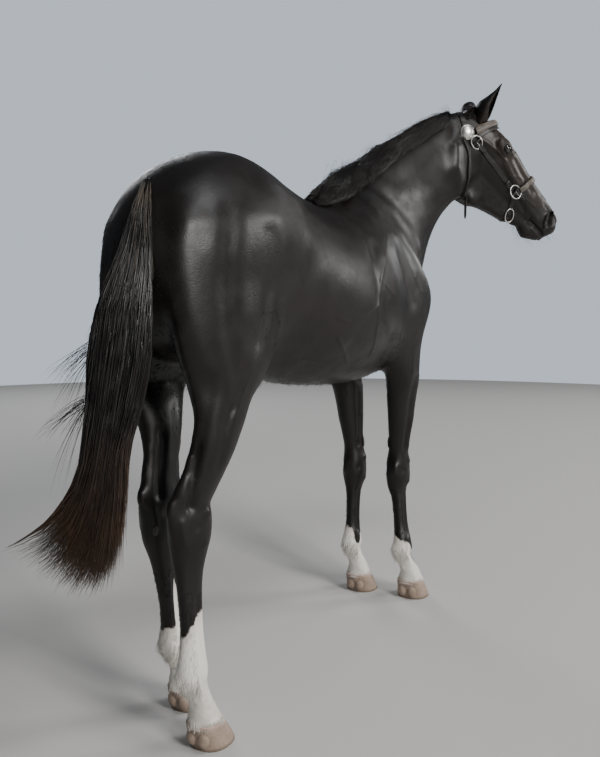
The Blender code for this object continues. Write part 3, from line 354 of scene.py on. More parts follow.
def fore_leg(bm, side, knee, fetlock, toe):
    """`side` is +1 on the left; `knee`, `fetlock` and `toe` are (x, y)."""
    (kx, ky), (fx, fy), (tx, ty) = knee, fetlock, toe
    s = side
    rows = [
        (0.060, tx + 0.052, tx - 0.060, ty, 0.052, 0.052, 0.50, 2.0, 2.0),
        (0.085, tx + 0.040, tx - 0.052, ty, 0.047, 0.047, 0.50, 2.0, 2.0),
        (0.110, tx + 0.024, tx - 0.054, ty, 0.038, 0.038, 0.50, 2.1, 2.0),
        (0.145, (fx + tx) / 2 + 0.028, (fx + tx) / 2 - 0.045, (fy + ty) / 2,
         0.032, 0.032, 0.50, 2.1, 2.0),
        (0.180, fx + 0.038, fx - 0.042, fy, 0.035, 0.035, 0.50, 2.2, 2.0),
        (0.210, fx + 0.040, fx - 0.050, fy, 0.038, 0.038, 0.55, 2.3, 2.0),
        (0.240, fx + 0.037, fx - 0.045, fy, 0.034, 0.034, 0.58, 2.3, 2.0),
        (0.275, (fx * 4 + kx) / 5 + 0.033, (fx * 4 + kx) / 5 - 0.036, (fy * 4 + ky) / 5,
         0.028, 0.028, 0.60, 2.3, 2.0),
        (0.350, (fx + kx) / 2 + 0.030, (fx + kx) / 2 - 0.035, (fy + ky) / 2,
         0.026, 0.026, 0.60, 2.3, 2.0),
        (0.410, (fx + kx * 3) / 4 + 0.032, (fx + kx * 3) / 4 - 0.037, (fy + ky * 3) / 4,
         0.030, 0.030, 0.60, 2.3, 2.0),
        (0.445, kx + 0.040, kx - 0.045, ky, 0.040, 0.040, 0.60, 2.4, 2.1),
        (0.475, kx + 0.048, kx - 0.050, ky, 0.047, 0.046, 0.60, 2.5, 2.1),
        (0.505, kx + 0.050, kx - 0.054, ky, 0.047, 0.047, 0.60, 2.5, 2.1),
        (0.540, kx + 0.047, kx - 0.050, ky, 0.045, 0.045, 0.60, 2.4, 2.1),
        (0.580, kx + 0.041, kx - 0.046, ky + s * 0.002, 0.040, 0.040, 0.60, 2.3, 2.0),
        (0.640, kx + 0.043, kx - 0.055, ky + s * 0.006, 0.043, 0.042, 0.60, 2.2, 2.0),
        (0.710, kx + 0.050, kx - 0.070, ky + s * 0.012, 0.051, 0.048, 0.60, 2.1, 2.0),
        (0.780, kx + 0.049, kx - 0.082, ky + s * 0.016, 0.056, 0.053, 0.58, 2.1, 2.0),
        (0.850, kx + 0.047, kx - 0.098, ky + s * 0.024, 0.062, 0.060, 0.56, 2.0, 2.0),
        (0.910, 0.645, 0.462, s * 0.130, 0.065, 0.068, 0.54, 2.0, 2.0),
        (0.970, 0.660, 0.425, s * 0.132, 0.064, 0.075, 0.54, 2.0, 2.0),
        (1.040, 0.692, 0.390, s * 0.133, 0.066, 0.080, 0.52, 2.0, 2.0),
        (1.110, 0.740, 0.365, s * 0.134, 0.072, 0.080, 0.52, 2.0, 2.0),
        (1.170, 0.762, 0.345, s * 0.130, 0.076, 0.080, 0.54, 2.0, 2.0),
        (1.240, 0.745, 0.320, s * 0.122, 0.076, 0.080, 0.54, 2.0, 2.0),
        (1.330, 0.660, 0.295, s * 0.108, 0.070, 0.080, 0.50, 2.0, 2.0),
        (1.420, 0.575, 0.275, s * 0.090, 0.060, 0.070, 0.50, 2.0, 2.0),
        (1.510, 0.500, 0.265, s * 0.062, 0.042, 0.050, 0.50, 2.0, 2.0),
    ]
    leg_loft(bm, rows, side)


# by side: height, front and back past the hock, out from the hock, outer and inner width
GASKINS = {
    -1: [
        (0.690, 0.078, -0.074, 0.012, 0.042, 0.038),
        (0.740, 0.098, -0.050, 0.024, 0.048, 0.038),
        (0.800, 0.122, -0.036, 0.034, 0.058, 0.042),
        (0.870, 0.155, -0.026, 0.042, 0.062, 0.044),
        (0.940, 0.218, -0.030, 0.030, 0.080, 0.056),
    ],
    1: [
        (0.690, 0.064, -0.074, 0.002, 0.039, 0.039),
        (0.740, 0.070, -0.058, 0.008, 0.043, 0.041),
        (0.800, 0.092, -0.052, 0.018, 0.050, 0.048),
        (0.870, 0.132, -0.056, 0.040, 0.058, 0.056),
        (0.940, 0.205, -0.070, 0.080, 0.078, 0.062),
    ],
}


def hind_leg(bm, side, hock, fetlock, toe):
    (hx, hy), (fx, fy), (tx, ty) = hock, fetlock, toe
    s = side
    forward = hx + 0.70               # how far this leg is set forward of a square stance
    gaskin = [(z, hx + front, hx + back, hy + s * out, outer, inner, 0.58, 2.1, 1.8)
              for z, front, back, out, outer, inner in GASKINS[s]]
    rows = [
        (0.060, tx + 0.052, tx - 0.062, ty, 0.049, 0.049, 0.50, 2.0, 2.0),
        (0.085, tx + 0.038, tx - 0.054, ty, 0.045, 0.045, 0.50, 2.0, 2.0),
        (0.112, tx + 0.022, tx - 0.054, ty, 0.037, 0.037, 0.50, 2.1, 2.0),
        (0.150, (fx + tx) / 2 + 0.030, (fx + tx) / 2 - 0.043, (fy + ty) / 2,
         0.033, 0.033, 0.50, 2.1, 2.0),
        (0.195, fx + 0.041, fx - 0.045, fy, 0.037, 0.037, 0.50, 2.2, 2.0),
        (0.230, fx + 0.042, fx - 0.052, fy, 0.039, 0.039, 0.55, 2.3, 2.0),
        (0.262, fx + 0.038, fx - 0.046, fy, 0.034, 0.034, 0.58, 2.3, 2.0),
        (0.320, (fx * 3 + hx) / 4 + 0.032, (fx * 3 + hx) / 4 - 0.040, (fy * 3 + hy) / 4,
         0.028, 0.028, 0.60, 2.3, 2.0),
        (0.400, (fx + hx) / 2 + 0.030, (fx + hx) / 2 - 0.046, (fy + hy) / 2,
         0.028, 0.028, 0.60, 2.3, 2.0),
        (0.470, (fx + hx * 3) / 4 + 0.032, (fx + hx * 3) / 4 - 0.056, (fy + hy * 3) / 4,
         0.033, 0.033, 0.60, 2.3, 2.0),
        (0.525, hx + 0.044, hx - 0.068, hy, 0.044, 0.044, 0.62, 2.3, 2.0),
        (0.575, hx + 0.056, hx - 0.076, hy, 0.050, 0.050, 0.66, 2.3, 1.9),
        (0.620, hx + 0.062, hx - 0.086, hy, 0.048, 0.048, 0.68, 2.2, 1.7),
        (0.655, hx + 0.062, hx - 0.088, hy, 0.043, 0.043, 0.66, 2.2, 1.6),
        *gaskin,
        (1.020, -0.405, -0.760 + forward * 0.25, s * 0.134 - 0.016, 0.084, 0.080, 0.56, 2.1, 1.9),
        (1.100, -0.372, -0.782 + forward * 0.10, s * 0.128 - 0.020, 0.088, 0.100, 0.58, 2.1, 1.8),
        (1.200, -0.360, -0.794, s * 0.118 - 0.022, 0.096, 0.110, 0.60, 2.1, 1.7),
        (1.300, -0.365, -0.792, s * 0.107 - 0.022, 0.100, 0.110, 0.60, 2.1, 1.7),
        (1.390, -0.380, -0.765, s * 0.096 - 0.022, 0.097, 0.100, 0.58, 2.0, 1.8),
        (1.470, -0.400, -0.690, s * 0.078 - 0.020, 0.072, 0.075, 0.55, 2.0, 1.9),
    ]
    leg_loft(bm, rows, side)


LEGS = {  # side, then the middle of knee or hock, of the fetlock and of the toe
    "fore_right": (-1, (0.600, -0.096), (0.575, -0.132), (0.625, -0.150)),
    "fore_left": (1, (0.570, 0.080), (0.540, 0.071), (0.588, 0.060)),
    "hind_right": (-1, (-0.700, -0.120), (-0.735, -0.150), (-0.682, -0.152)),
    "hind_left": (1, (-0.630, 0.040), (-0.600, 0.027), (-0.548, 0.027)),
}


def cannon(leg):
    """The heights of a leg's fetlock and of its knee or hock."""
    return (0.21, 0.50) if leg.startswith("fore") else (0.23, 0.60)


def new_object(name, bm, recalc=True):
    if recalc:
        bmesh.ops.recalc_face_normals(bm, faces=bm.faces)
    mesh = bpy.data.meshes.new(name)
    bm.to_mesh(mesh)
    bm.free()
    obj = bpy.data.objects.new(name, mesh)
    bpy.context.scene.collection.objects.link(obj)
    return obj


def build_flesh():
    bm = bmesh.new()
    trunk(bm)
    neck(bm)
    head(bm)
    for name, (side, joint, fetlock, toe) in LEGS.items():
        (fore_leg if name.startswith("fore") else hind_leg)(bm, side, joint, fetlock, toe)
    return new_object("flesh", bm)

# %% [markdown]
# ## How a material is wired
# Every finish here is procedural: noise, bands and masks are worked out at each point of
# the surface, so nothing blurs up close. Two small helpers keep the wiring short. What
# several finishes share is a node group with named sockets, placed with other values.
# %% Node helpers and the shared groups
def add(tree, kind, *sockets, **values):
    """A node. `sockets` fill its inputs in order. A value whose name has a capital is an
    input too, and any other is a setting."""
    node = tree.nodes.new(kind if kind.startswith("Node") else "ShaderNode" + kind)
    for key, value in values.items():
        if not key[0].isupper():
            setattr(node, key, value)
    named = [(key.replace("_", " "), v) for key, v in values.items() if key[0].isupper()]
    for key, value in list(enumerate(sockets)) + named:
        if isinstance(value, bpy.types.NodeSocket):
            tree.links.new(value, node.inputs[key])
        elif value is not None:
            node.inputs[key].default_value = value
    return node


def calc(tree, operation, *sockets, clamp=False):
    return add(tree, "Math", *sockets, operation=operation, use_clamp=clamp).outputs[0]


def blend(tree, factor, first, second, blend_type="MIX"):
    node = add(tree, "Mix", data_type="RGBA", blend_type=blend_type)
    for key, value in ((0, factor), (6, first), (7, second)):
        if isinstance(value, bpy.types.NodeSocket):
            tree.links.new(value, node.inputs[key])
        else:
            node.inputs[key].default_value = (*value, 1) if key else value
    return node.outputs[2]


def ramp(tree, value, low, high, start=0.0, end=1.0):
    """`value` from low to high becomes start to end, with soft ends."""
    return add(tree, "MapRange", value, low, high, start, end,
               interpolation_type="SMOOTHSTEP").outputs[0]


def new_group(name, inputs, outputs):
    tree = bpy.data.node_groups.new(name, "ShaderNodeTree")
    for label, kind, value in inputs:
        socket = tree.interface.new_socket(name=label, in_out="INPUT",
                                           socket_type="NodeSocket" + kind)
        if value is not None:
            socket.default_value = value
    for label, kind in outputs:
        tree.interface.new_socket(name=label, in_out="OUTPUT", socket_type="NodeSocket" + kind)
    return tree, add(tree, "NodeGroupInput").outputs, add(tree, "NodeGroupOutput")


def place_group(tree, group, **values):
    return add(tree, "Group", node_tree=group, **values).outputs


def new_material(name, **values):
    material = bpy.data.materials.new(name)
    material.use_nodes = True
    shader = material.node_tree.nodes["Principled BSDF"]
    for key, value in values.items():
        shader.inputs[key.replace("_", " ")].default_value = value
    return material, material.node_tree, shader


def feed(tree, shader, **sockets):
    for key, value in sockets.items():
        tree.links.new(value, shader.inputs[key.replace("_", " ")])


def read(tree, name):
    """The mesh's own attribute of that name."""
    return add(tree, "Attribute", attribute_name=name).outputs["Fac"]


def object_place(tree):
    return add(tree, "TexCoord").outputs["Object"]


def bump(tree, height, distance, strength=1.0, **more):
    return add(tree, "Bump", Height=height, Distance=distance, Strength=strength, **more).outputs[0]


STREAKS, come, go = new_group(
    "streaks", [("Vector", "Vector", None), ("Scale", "Vector", (1, 1, 1)),
                ("Waver", "Float", 0.02)], [("Height", "Float")])
wander = add(STREAKS, "TexNoise", come["Vector"], Scale=6.0, Detail=1.0)
shifted = add(STREAKS, "VectorMath", wander.outputs["Color"], None, operation="SCALE")
STREAKS.links.new(come["Waver"], shifted.inputs["Scale"])
moved = add(STREAKS, "VectorMath", come["Vector"], shifted.outputs[0], operation="ADD")
stretched = add(STREAKS, "VectorMath", moved.outputs[0], come["Scale"], operation="MULTIPLY")
fine = add(STREAKS, "TexNoise", stretched.outputs[0], Scale=1.0, Detail=2.0, Roughness=0.6)
STREAKS.links.new(fine.outputs["Fac"], go.inputs[0])

PATCHES, come, go = new_group("patches", [("Vector", "Vector", None), ("Size", "Float", 0.1),
                                          ("Contrast", "Float", 0.5)], [("Mask", "Float")])
scale = calc(PATCHES, "DIVIDE", 1.0, come["Size"])
cloud = add(PATCHES, "TexNoise", come["Vector"], Scale=scale, Detail=4.0, Roughness=0.55)
half = calc(PATCHES, "MULTIPLY", calc(PATCHES, "SUBTRACT", 1.0, come["Contrast"]), 0.5)
edge = add(PATCHES, "MapRange", cloud.outputs["Fac"], half, calc(PATCHES, "SUBTRACT", 1.0, half),
           interpolation_type="SMOOTHSTEP")
PATCHES.links.new(edge.outputs[0], go.inputs[0])


def streaks(tree, place, scale):
    return place_group(tree, STREAKS, Vector=place, Scale=scale)["Height"]


def patches(tree, place, size, contrast):
    return place_group(tree, PATCHES, Vector=place, Size=size, Contrast=contrast)["Mask"]


print("groups:", [group.name for group in bpy.data.node_groups])


def only(obj):
    bpy.ops.object.select_all(action="DESELECT")
    obj.select_set(True)
    bpy.context.view_layer.objects.active = obj


def apply(obj, kind, **values):
    only(obj)
    modifier = obj.modifiers.new(kind, kind)
    for key, value in values.items():
        setattr(modifier, key, value)
    bpy.ops.object.modifier_apply(modifier=modifier.name)


def attribute(obj, name, values):
    layer = obj.data.attributes.new(name, "FLOAT", "POINT")
    layer.data.foreach_set("value", np.asarray(values, np.float32))


def triples(items, name):
    """The three numbers that each item holds under a name, as the rows of an array."""
    flat = np.empty(len(items) * 3, np.float32)
    items.foreach_get(name, flat)
    return flat.reshape(-1, 3).astype(float)


def points_of(obj):
    return triples(obj.data.vertices, "co")


def normals_of(obj):
    obj.data.update()
    return triples(obj.data.vertex_normals, "vector")


def put_points(obj, points):
    obj.data.vertices.foreach_set("co", np.asarray(points, np.float32).ravel())
    obj.data.update()


def face_out(obj, centre):
    """Turns the faces so that they look away from the centre."""
    if ((points_of(obj) - np.array(centre)) * normals_of(obj)).sum() < 0:
        obj.data.flip_normals()


def surface_of(obj):
    return BVHTree.FromObject(obj, bpy.context.evaluated_depsgraph_get())


def body_share(points):
    """1 where the big muscles blend softly, falling to 0 on the bony legs and the head."""
    share = np.clip((points[:, 2] - 0.72) / 0.25, 0, 1)
    return np.where(points[:, 0] < 0.9, share, 0)


flesh = build_flesh()
print("tubes and lumps:", len(flesh.data.vertices), "corners")

# %% [markdown]
# ## One skin
# A voxel remesh melts the tubes into one closed skin, as clay is pressed together. The
# body is then smoothed far more than the legs and head, because muscle is soft and bone
# is not. One size of face would be too coarse for an eyelid or too heavy for a flank, so
# the skin starts at 13 mm and is divided once on the head, the legs and along the
# veins, and once more round the eyes, nostrils and mouth.
# %% Melt and smooth
COARSE, FINE = 0.0127, 0.0050


def melted(source, voxel, body_rounds, polish_rounds):
    obj = source.copy()
    obj.data = source.data.copy()
    bpy.context.scene.collection.objects.link(obj)
    apply(obj, "REMESH", mode="VOXEL", voxel_size=voxel)
    group = obj.vertex_groups.new(name="body")
    share = body_share(points_of(obj))
    for level in np.linspace(0.1, 1, 10):
        near = np.abs(share - level) <= 0.05
        group.add([int(i) for i in np.nonzero(near)[0]], float(level), "REPLACE")
    if body_rounds:
        apply(obj, "SMOOTH", factor=0.5, iterations=body_rounds, vertex_group="body")
    apply(obj, "SMOOTH", factor=0.5, iterations=polish_rounds)
    obj.vertex_groups.clear()
    return obj


skin = melted(flesh, COARSE, 18, 2)
skin.name = "skin"
close = melted(flesh, FINE, 0, 6)
CLOSE = surface_of(close)
bpy.data.objects.remove(close)
bpy.data.objects.remove(flesh)
print("melted skin:", len(skin.data.vertices), "corners")

# %% [markdown]
# The strokes below are the anatomy that shows through a fit horse's thin skin. Each is a
# line drawn on the skin with a width and a height: a ridge where bone, tendon or vein
# lifts it and a groove where two muscles meet.
# %% The strokes of the body
def both(points):
    """The same line on the right side and on the left of the trunk."""
    return [points, [(x, -0.016 - y, z) for x, y, z in points]]


BODY_STROKES = [  # line on the right side, width, height
    ([(-.339, -.217, 1.435), (-.314, -.225, 1.395), (-.288, -.233, 1.36)], 0.034, 0.005),
    ([(-.288, -.233, 1.36), (-.248, -.235, 1.319), (-.22, -.239, 1.248), (-.188, -.235, 1.175),
      (-.165, -.225, 1.115)], 0.028, 0.003),
    ([(-.254, -.239, 1.284), (-.313, -.231, 1.232), (-.36, -.217, 1.176),
      (-.424, -.212, 1.116), (-.47, -.20, 1.05)], 0.026, -0.006),
    ([(-.300, -.225, 1.325), (-.354, -.24, 1.300), (-.375, -.233, 1.235)], 0.040, -0.004),
    ([(-.395, -.19, 1.06), (-.35, -.20, 1.11), (-.29, -.21, 1.18)], 0.028, 0.004),
    ([(.355, -.055, 1.575), (.436, -.091, 1.532), (.527, -.109, 1.492), (.612, -.132, 1.426),
      (.674, -.138, 1.361)], 0.020, 0.008),
    ([(.46, -.06, 1.590), (.56, -.09, 1.530), (.655, -.120, 1.445), (.715, -.13, 1.370)],
     0.020, -0.006),
    ([(.674, -.138, 1.361), (.728, -.15, 1.27), (.742, -.16, 1.17)], 0.034, 0.008),
    ([(.274, -.193, 1.376), (.36, -.175, 1.392), (.42, -.16, 1.399), (.50, -.15, 1.40)],
     0.026, 0.006),
    ([(.206, -.033, 1.545), (.166, -.122, 1.459), (.139, -.19, 1.386), (.13, -.22, 1.32)],
     0.024, -0.007),
    ([(.30, -.08, 1.545), (.38, -.13, 1.48), (.47, -.155, 1.39), (.57, -.165, 1.29)],
     0.016, -0.006),
    ([(.255, -.12, 1.50), (.32, -.15, 1.44), (.42, -.175, 1.35), (.52, -.19, 1.26)],
     0.022, 0.006),
    ([(.16, -.201, 1.35), (.10, -.247, 1.269), (.11, -.262, 1.19), (.20, -.24, 1.10),
      (.30, -.22, 1.03)], 0.022, -0.011),
    ([(.22, -.21, 1.31), (.27, -.22, 1.22), (.36, -.22, 1.13), (.42, -.21, 1.06)],
     0.048, 0.014),
    ([(.40, -.19, 1.33), (.44, -.20, 1.24), (.50, -.20, 1.16)], 0.018, -0.007),
    ([(.52, -.19, 1.30), (.60, -.19, 1.20), (.64, -.19, 1.10)], 0.018, -0.006),
    ([(.655, -.205, 1.131), (.60, -.205, 1.06), (.545, -.20, .99)], 0.022, 0.005),
    ([(.395, -.175, 1.02), (.405, -.17, .985), (.43, -.16, .95)], 0.026, 0.014),
    ([(.745, -.03, 1.24), (.76, -.03, 1.15), (.755, -.03, 1.06)], 0.014, -0.008),
    ([(-.755, -.10, 1.41), (-.788, -.141, 1.275), (-.781, -.157, 1.155), (-.755, -.17, 1.05),
      (-.715, -.19, .96)], 0.020, -0.009),
    ([(-.64, -.21, 1.40), (-.66, -.225, 1.30), (-.665, -.23, 1.18), (-.66, -.23, 1.08),
      (-.64, -.228, 1.00)], 0.018, -0.008),
    ([(-.60, -.225, 1.34), (-.606, -.232, 1.25), (-.60, -.235, 1.15)], 0.030, 0.007),
    ([(-.50, -.235, 1.35), (-.475, -.24, 1.27), (-.50, -.235, 1.17), (-.545, -.23, 1.07)],
     0.022, -0.008),
    ([(-.741, -.165, 1.367), (-.67, -.202, 1.381), (-.575, -.227, 1.394), (-.46, -.243, 1.384)],
     0.022, 0.005),
    ([(-.43, -.20, 1.10), (-.455, -.215, 1.02), (-.50, -.22, .95)], 0.030, 0.008),
    ([(-.533, -.233, 1.035), (-.559, -.225, .955), (-.599, -.214, .866)], 0.018, 0.005),
    ([(-.60, -.23, 1.01), (-.64, -.222, .93), (-.668, -.205, .86)], 0.014, -0.006),
    ([(-.703, -.207, .98), (-.721, -.199, .906), (-.732, -.181, .83), (-.734, -.156, .752)],
     0.013, -0.008),
    ([(.50, -.055, 1.655), (.60, -.085, 1.63), (.713, -.124, 1.67), (.808, -.166, 1.755)],
     0.030, -0.007),
    ([(.599, -.103, 1.56), (.727, -.141, 1.577), (.804, -.17, 1.62), (.88, -.21, 1.70)],
     0.028, 0.007),
    ([(.70, -.14, 1.28), (.76, -.13, 1.38), (.83, -.14, 1.48), (.90, -.18, 1.57),
      (.955, -.21, 1.63)], 0.018, -0.006),
    ([(.78, -.09, 1.22), (.82, -.09, 1.36), (.87, -.11, 1.47), (.94, -.16, 1.57)],
     0.026, 0.006),
    ([(.60, -.10, 1.655), (.66, -.10, 1.58), (.70, -.12, 1.50)], 0.020, 0.003),
    ([(-.20, -.10, 1.545), (-.05, -.11, 1.505), (.08, -.11, 1.488)], 0.022, 0.005),
    ([(-.20, -.155, 1.50), (-.05, -.165, 1.46), (.07, -.175, 1.44)], 0.020, -0.005),
    ([(-.46, -.11, 1.575), (-.56, -.12, 1.545), (-.67, -.115, 1.48), (-.74, -.09, 1.41)],
     0.022, 0.004),
    ([(-.02, -.23, 1.02), (.10, -.23, .985), (.22, -.21, .965), (.33, -.18, .955)],
     0.020, -0.007),
]
VEINS = [  # fine lines that stand on the skin of a warm horse
    ([(.308, -.183, 1.385), (.197, -.228, 1.312), (.13, -.254, 1.238), (.098, -.264, 1.157),
      (.102, -.252, 1.076), (.143, -.21, .987)], 0.0060, 0.0040),
    ([(.13, -.254, 1.238), (.20, -.245, 1.20), (.27, -.235, 1.18)], 0.005, 0.0022),
    ([(.098, -.264, 1.157), (.03, -.26, 1.12), (-.06, -.25, 1.10), (-.13, -.24, 1.12)],
     0.005, 0.0022),
    ([(.143, -.21, .987), (.05, -.20, .955), (-.08, -.19, .955), (-.20, -.18, .97)],
     0.006, 0.0024),
    ([(.02, -.20, .955), (-.03, -.215, 1.00), (-.10, -.235, 1.05)], 0.005, 0.0024),
    ([(-.52, -.235, 1.13), (-.55, -.23, 1.03), (-.60, -.222, .95), (-.635, -.20, .88)],
     0.005, 0.0024),
    ([(.56, -.20, 1.06), (.52, -.19, .98), (.54, -.17, .90)], 0.005, 0.0026),
    ([(.66, -.19, 1.14), (.60, -.205, 1.10), (.55, -.21, 1.02), (.53, -.19, .94)],
     0.0045, 0.0022),
]
print(len(BODY_STROKES), "muscle strokes and", len(VEINS), "veins for each side")

# %% [markdown]
# The legs' strokes are hung from each leg's own joints, once for its outside and once
# for its inside: tendons behind the cannon bone, the small bones of the knee, the cord
# of the hock and the ergot's swelling behind the fetlock.
# %% The strokes of the legs
def shin(leg, z):
    """The middle of a leg between its knee or hock and its fetlock, at a height."""
    _, (jx, jy), (fx, fy), _ = LEGS[leg]
    low, high = cannon(leg)
    t = min(1.0, max(0.0, (z - low) / (high - low)))
    return fx + (jx - fx) * t, fy + (jy - fy) * t


def leg_strokes(leg):
    side, (jx, jy), (fx, fy), (tx, ty) = LEGS[leg]
    fore = leg.startswith("fore")
    found = []

    def put(points, width, height):
        found.append((points, width, height))

    def down(dx, dy, heights, width, height):
        put([(shin(leg, z)[0] + dx, shin(leg, z)[1] + dy, z) for z in heights], width, height)

    for w in (-1, 1):
        down(-0.006, w * 0.030, (.42, .36, .30, .26), 0.0060, -0.0045)
        down(-0.020, w * 0.026, (.40, .34, .28, .25), 0.0050, 0.0015)
        down(0.012, w * 0.030, (.40, .34, .28), 0.0070, 0.0015)
        put([(fx - .040, fy + w * .022, .215), (fx - .036, fy + w * .024, .20)], 0.012, 0.005)
        put([(fx + .008, fy + w * .037, .215)], 0.014, 0.003)
        put([(fx + .016, fy + w * .036, .185), ((fx + tx) / 2, ty + w * .032, .15)], .008, -.0025)
        put([(tx - .035, ty + w * .040, .090), (tx - .045, ty + w * .030, .10)], 0.011, 0.003)
        if fore:
            put([(jx + .015, jy + w * .046, .548)], 0.013, 0.0050)
            put([(jx + .012, jy + w * .045, .462)], 0.012, 0.0040)
            put([(jx + .020, jy + w * .046, .507)], 0.008, -0.0025)
            put([(jx - .030, jy + w * .042, .512)], 0.012, -0.0045)
            put([(jx + .026, jy + w * .042, .62), (jx + .020, jy + w * .055, .72),
                 (jx + .016, jy + w * .066, .82)], 0.009, -0.0055)
            put([(jx - .018, jy + w * .042, .60), (jx - .026, jy + w * .056, .70),
                 (jx - .034, jy + w * .066, .80), (jx - .040, jy + w * .08, .88)], 0.009, -0.0055)
            put([(jx + .002, jy + w * .045, .60), (jx - .004, jy + w * .058, .70),
                 (jx - .006, jy + w * .070, .80), (jx - .008, jy + w * .084, .88)], 0.013, 0.0045)
        else:
            put([(jx - .022, jy + w * .044, .82), (jx - .030, jy + w * .042, .76),
                 (jx - .040, jy + w * .040, .70), (jx - .042, jy + w * .042, .655)], .013, -.0100)
            put([(jx + .020, jy + w * .050, .635)], 0.016, 0.0060)
            put([(jx + .006, jy + w * .047, .555)], 0.014, 0.0035)
            put([(jx - .026, jy + w * .046, .600)], 0.012, -0.0040)
            put([(jx - .055, jy + w * .030, .56), (jx - .062, jy + w * .030, .62)], 0.009, 0.0030)
            put([(jx + .030, jy + w * .044, .76), (jx + .045, jy + w * .054, .84),
                 (jx + .06, jy + w * .066, .90)], 0.011, -0.0045)
    if fore:
        put([(jx + .046, jy - .03, .505), (jx + .055, jy, .505), (jx + .046, jy + .03, .505)],
            0.009, -0.0030)
        put([(jx - .052, jy + side * .012, .530), (jx - .056, jy + side * .014, .500)],
            0.014, 0.0080)
        put([(jx + .02, jy - side * .044, .60), (jx + .024, jy - side * .055, .72),
             (jx + .03, jy - side * .065, .84)], 0.0045, 0.0028)
    else:
        put([(jx - .088, jy, .668), (jx - .090, jy, .645)], 0.015, 0.0060)
        put([(jx - .080, jy, .715), (jx - .070, jy, .78)], 0.012, 0.0040)
        put([(jx + .045, jy - side * .030, .62), (jx + .070, jy - side * .040, .72),
             (jx + .090, jy - side * .055, .84)], 0.0048, 0.0030)
    put([(fx - .050, fy, .205)], 0.012, 0.004)
    put([(tx - .058, ty, .135)], 0.012, -0.004)
    return found


LEG_STROKES = [stroke for leg in LEGS for stroke in leg_strokes(leg)]
print(len(LEG_STROKES), "strokes on the legs")

# %% [markdown]
# The head is skin over bone, so its strokes are the finest: the arch over the eye with
# the hollow above it, the cheekbone that runs on as the facial crest, the flat cheek and
# its vein, the wide comma of the nostril, the lips and the chin.
# %% The strokes of the head
HEAD_LINES = [  # line on the left in the head's axes, width, height
    ([(.165, .072, .040), (.19, .080, .054), (.225, .078, .054), (.247, .074, .038)], .009, .0060),
    ([(.150, .060, .052)], .015, -.0026),
    ([(.10, .064, .030), (.13, .070, .028)], .014, .0035),
    ([(.235, .082, -.004), (.19, .088, -.010), (.14, .084, -.014), (.10, .079, -.026)],
     .008, .0050),
    ([(.20, .082, -.040), (.15, .084, -.045), (.11, .08, -.05)], .011, -.0040),
    ([(.245, .078, -.006), (.30, .068, -.016), (.362, .058, -.022)], .0110, .0045),
    ([(.255, .072, -.032), (.31, .062, -.040), (.37, .052, -.045)], .010, -.0045),
    ([(.275, .062, .030), (.34, .054, .020), (.43, .046, .010)], .014, -.0060),
    ([(.26, .045, .062), (.34, .034, .052), (.44, .026, .044), (.50, .022, .040)], .009, .0035),
    ([(.13, .084, -.075), (.18, .084, -.12), (.17, .076, -.165), (.11, .078, -.13)], .026, .0045),
    ([(.055, .060, -.15), (.085, .062, -.20), (.15, .062, -.224), (.22, .058, -.224),
      (.28, .05, -.205)], .030, .0140),
    ([(.26, .045, -.205), (.34, .040, -.180), (.42, .034, -.155)], .022, .0120),
    ([(.300, .066, -.058), (.325, .062, -.006), (.36, .054, .014), (.40, .048, .022)],
     .0056, .0010),
    ([(.300, .066, -.058), (.35, .056, -.040), (.42, .050, -.032), (.48, .046, -.022)],
     .0050, .0012),
    ([(.39, .046, -.055), (.46, .042, -.066)], .009, -.0035),
    ([(.41, .046, -.035), (.48, .044, -.046), (.53, .045, -.050)], .011, .0025),
    ([(.556, .040, .022), (.545, .047, .008), (.545, .051, -.012), (.556, .051, -.034),
      (.577, .046, -.050)], .0058, .0075),
    ([(.560, .038, .018), (.578, .032, .020), (.596, .026, .010)], .0070, .0050),
    ([(.596, .034, -.020), (.590, .040, -.036)], .0070, .0030),
    ([(.505, .038, .016), (.535, .040, .012)], .009, -.0030),
    ([(.56, .042, -.058), (.59, .034, -.052), (.612, .012, -.046)], .010, .0025),
    ([(.545, .034, -.088), (.575, .026, -.085), (.588, .0, -.084)], .007, .0028),
    ([(.580, .018, -.092), (.598, .0, -.088)], .017, .0060),
    ([(.596, .022, -.072), (.606, .0, -.072)], .016, .0080),
    ([(.512, .036, -.073), (.545, .040, -.072), (.575, .037, -.070), (.597, .028, -.068)],
     .0036, -.0080),
    ([(.500, .037, -.086), (.504, .038, -.072), (.500, .038, -.060)], .0035, -.0020),
    ([(.493, .037, -.082), (.496, .038, -.068)], .0035, .0016),
    ([(.500, .020, -.136), (.500, .0, -.140)], .012, -.0050),
    ([(.548, .012, -.128), (.548, .0, -.130)], .018, .0030),
    ([(.628, .0, -.004), (.632, .0, -.036)], .0040, -.0020),
    ([(.005, .064, -.085), (.022, .068, -.13), (.035, .06, -.175)], .018, -.0040),
    ([(-.055, .070, -.055), (-.050, .074, -.090), (-.035, .072, -.12)], .028, .0030),
    ([(.060, .050, .040), (.040, .048, .036)], .018, .0040),
    ([(.10, .018, .062), (.07, .0, .052)], .014, .0030),
    ([(.16, .024, .076), (.20, .026, .078)], .012, .0015),
    ([(.262, .070, .020), (.31, .061, .016), (.37, .053, .006)], .0150, .0008),
    ([(.262, .062, .044), (.32, .050, .040), (.38, .042, .034)], .0150, .0009),
]
NOSTRIL = [(.561, .045, .012), (.568, .046, -.004), (.578, .045, -.020), (.588, .041, -.034)]
SHARP = 0.0105                     # a line narrower than this needs smaller faces


def in_head(points, side=1):
    return [tuple(HEAD @ Vector((x, side * y, z))) for x, y, z in points]


HEAD_STROKES = []
for line, width, height in HEAD_LINES:
    for side in (-1, 1):
        if side > 0 or max(y for _, y, _ in line) > 0.001:
            HEAD_STROKES.append((in_head(line, side), width, height))
print(len(HEAD_STROKES), "strokes on the head")

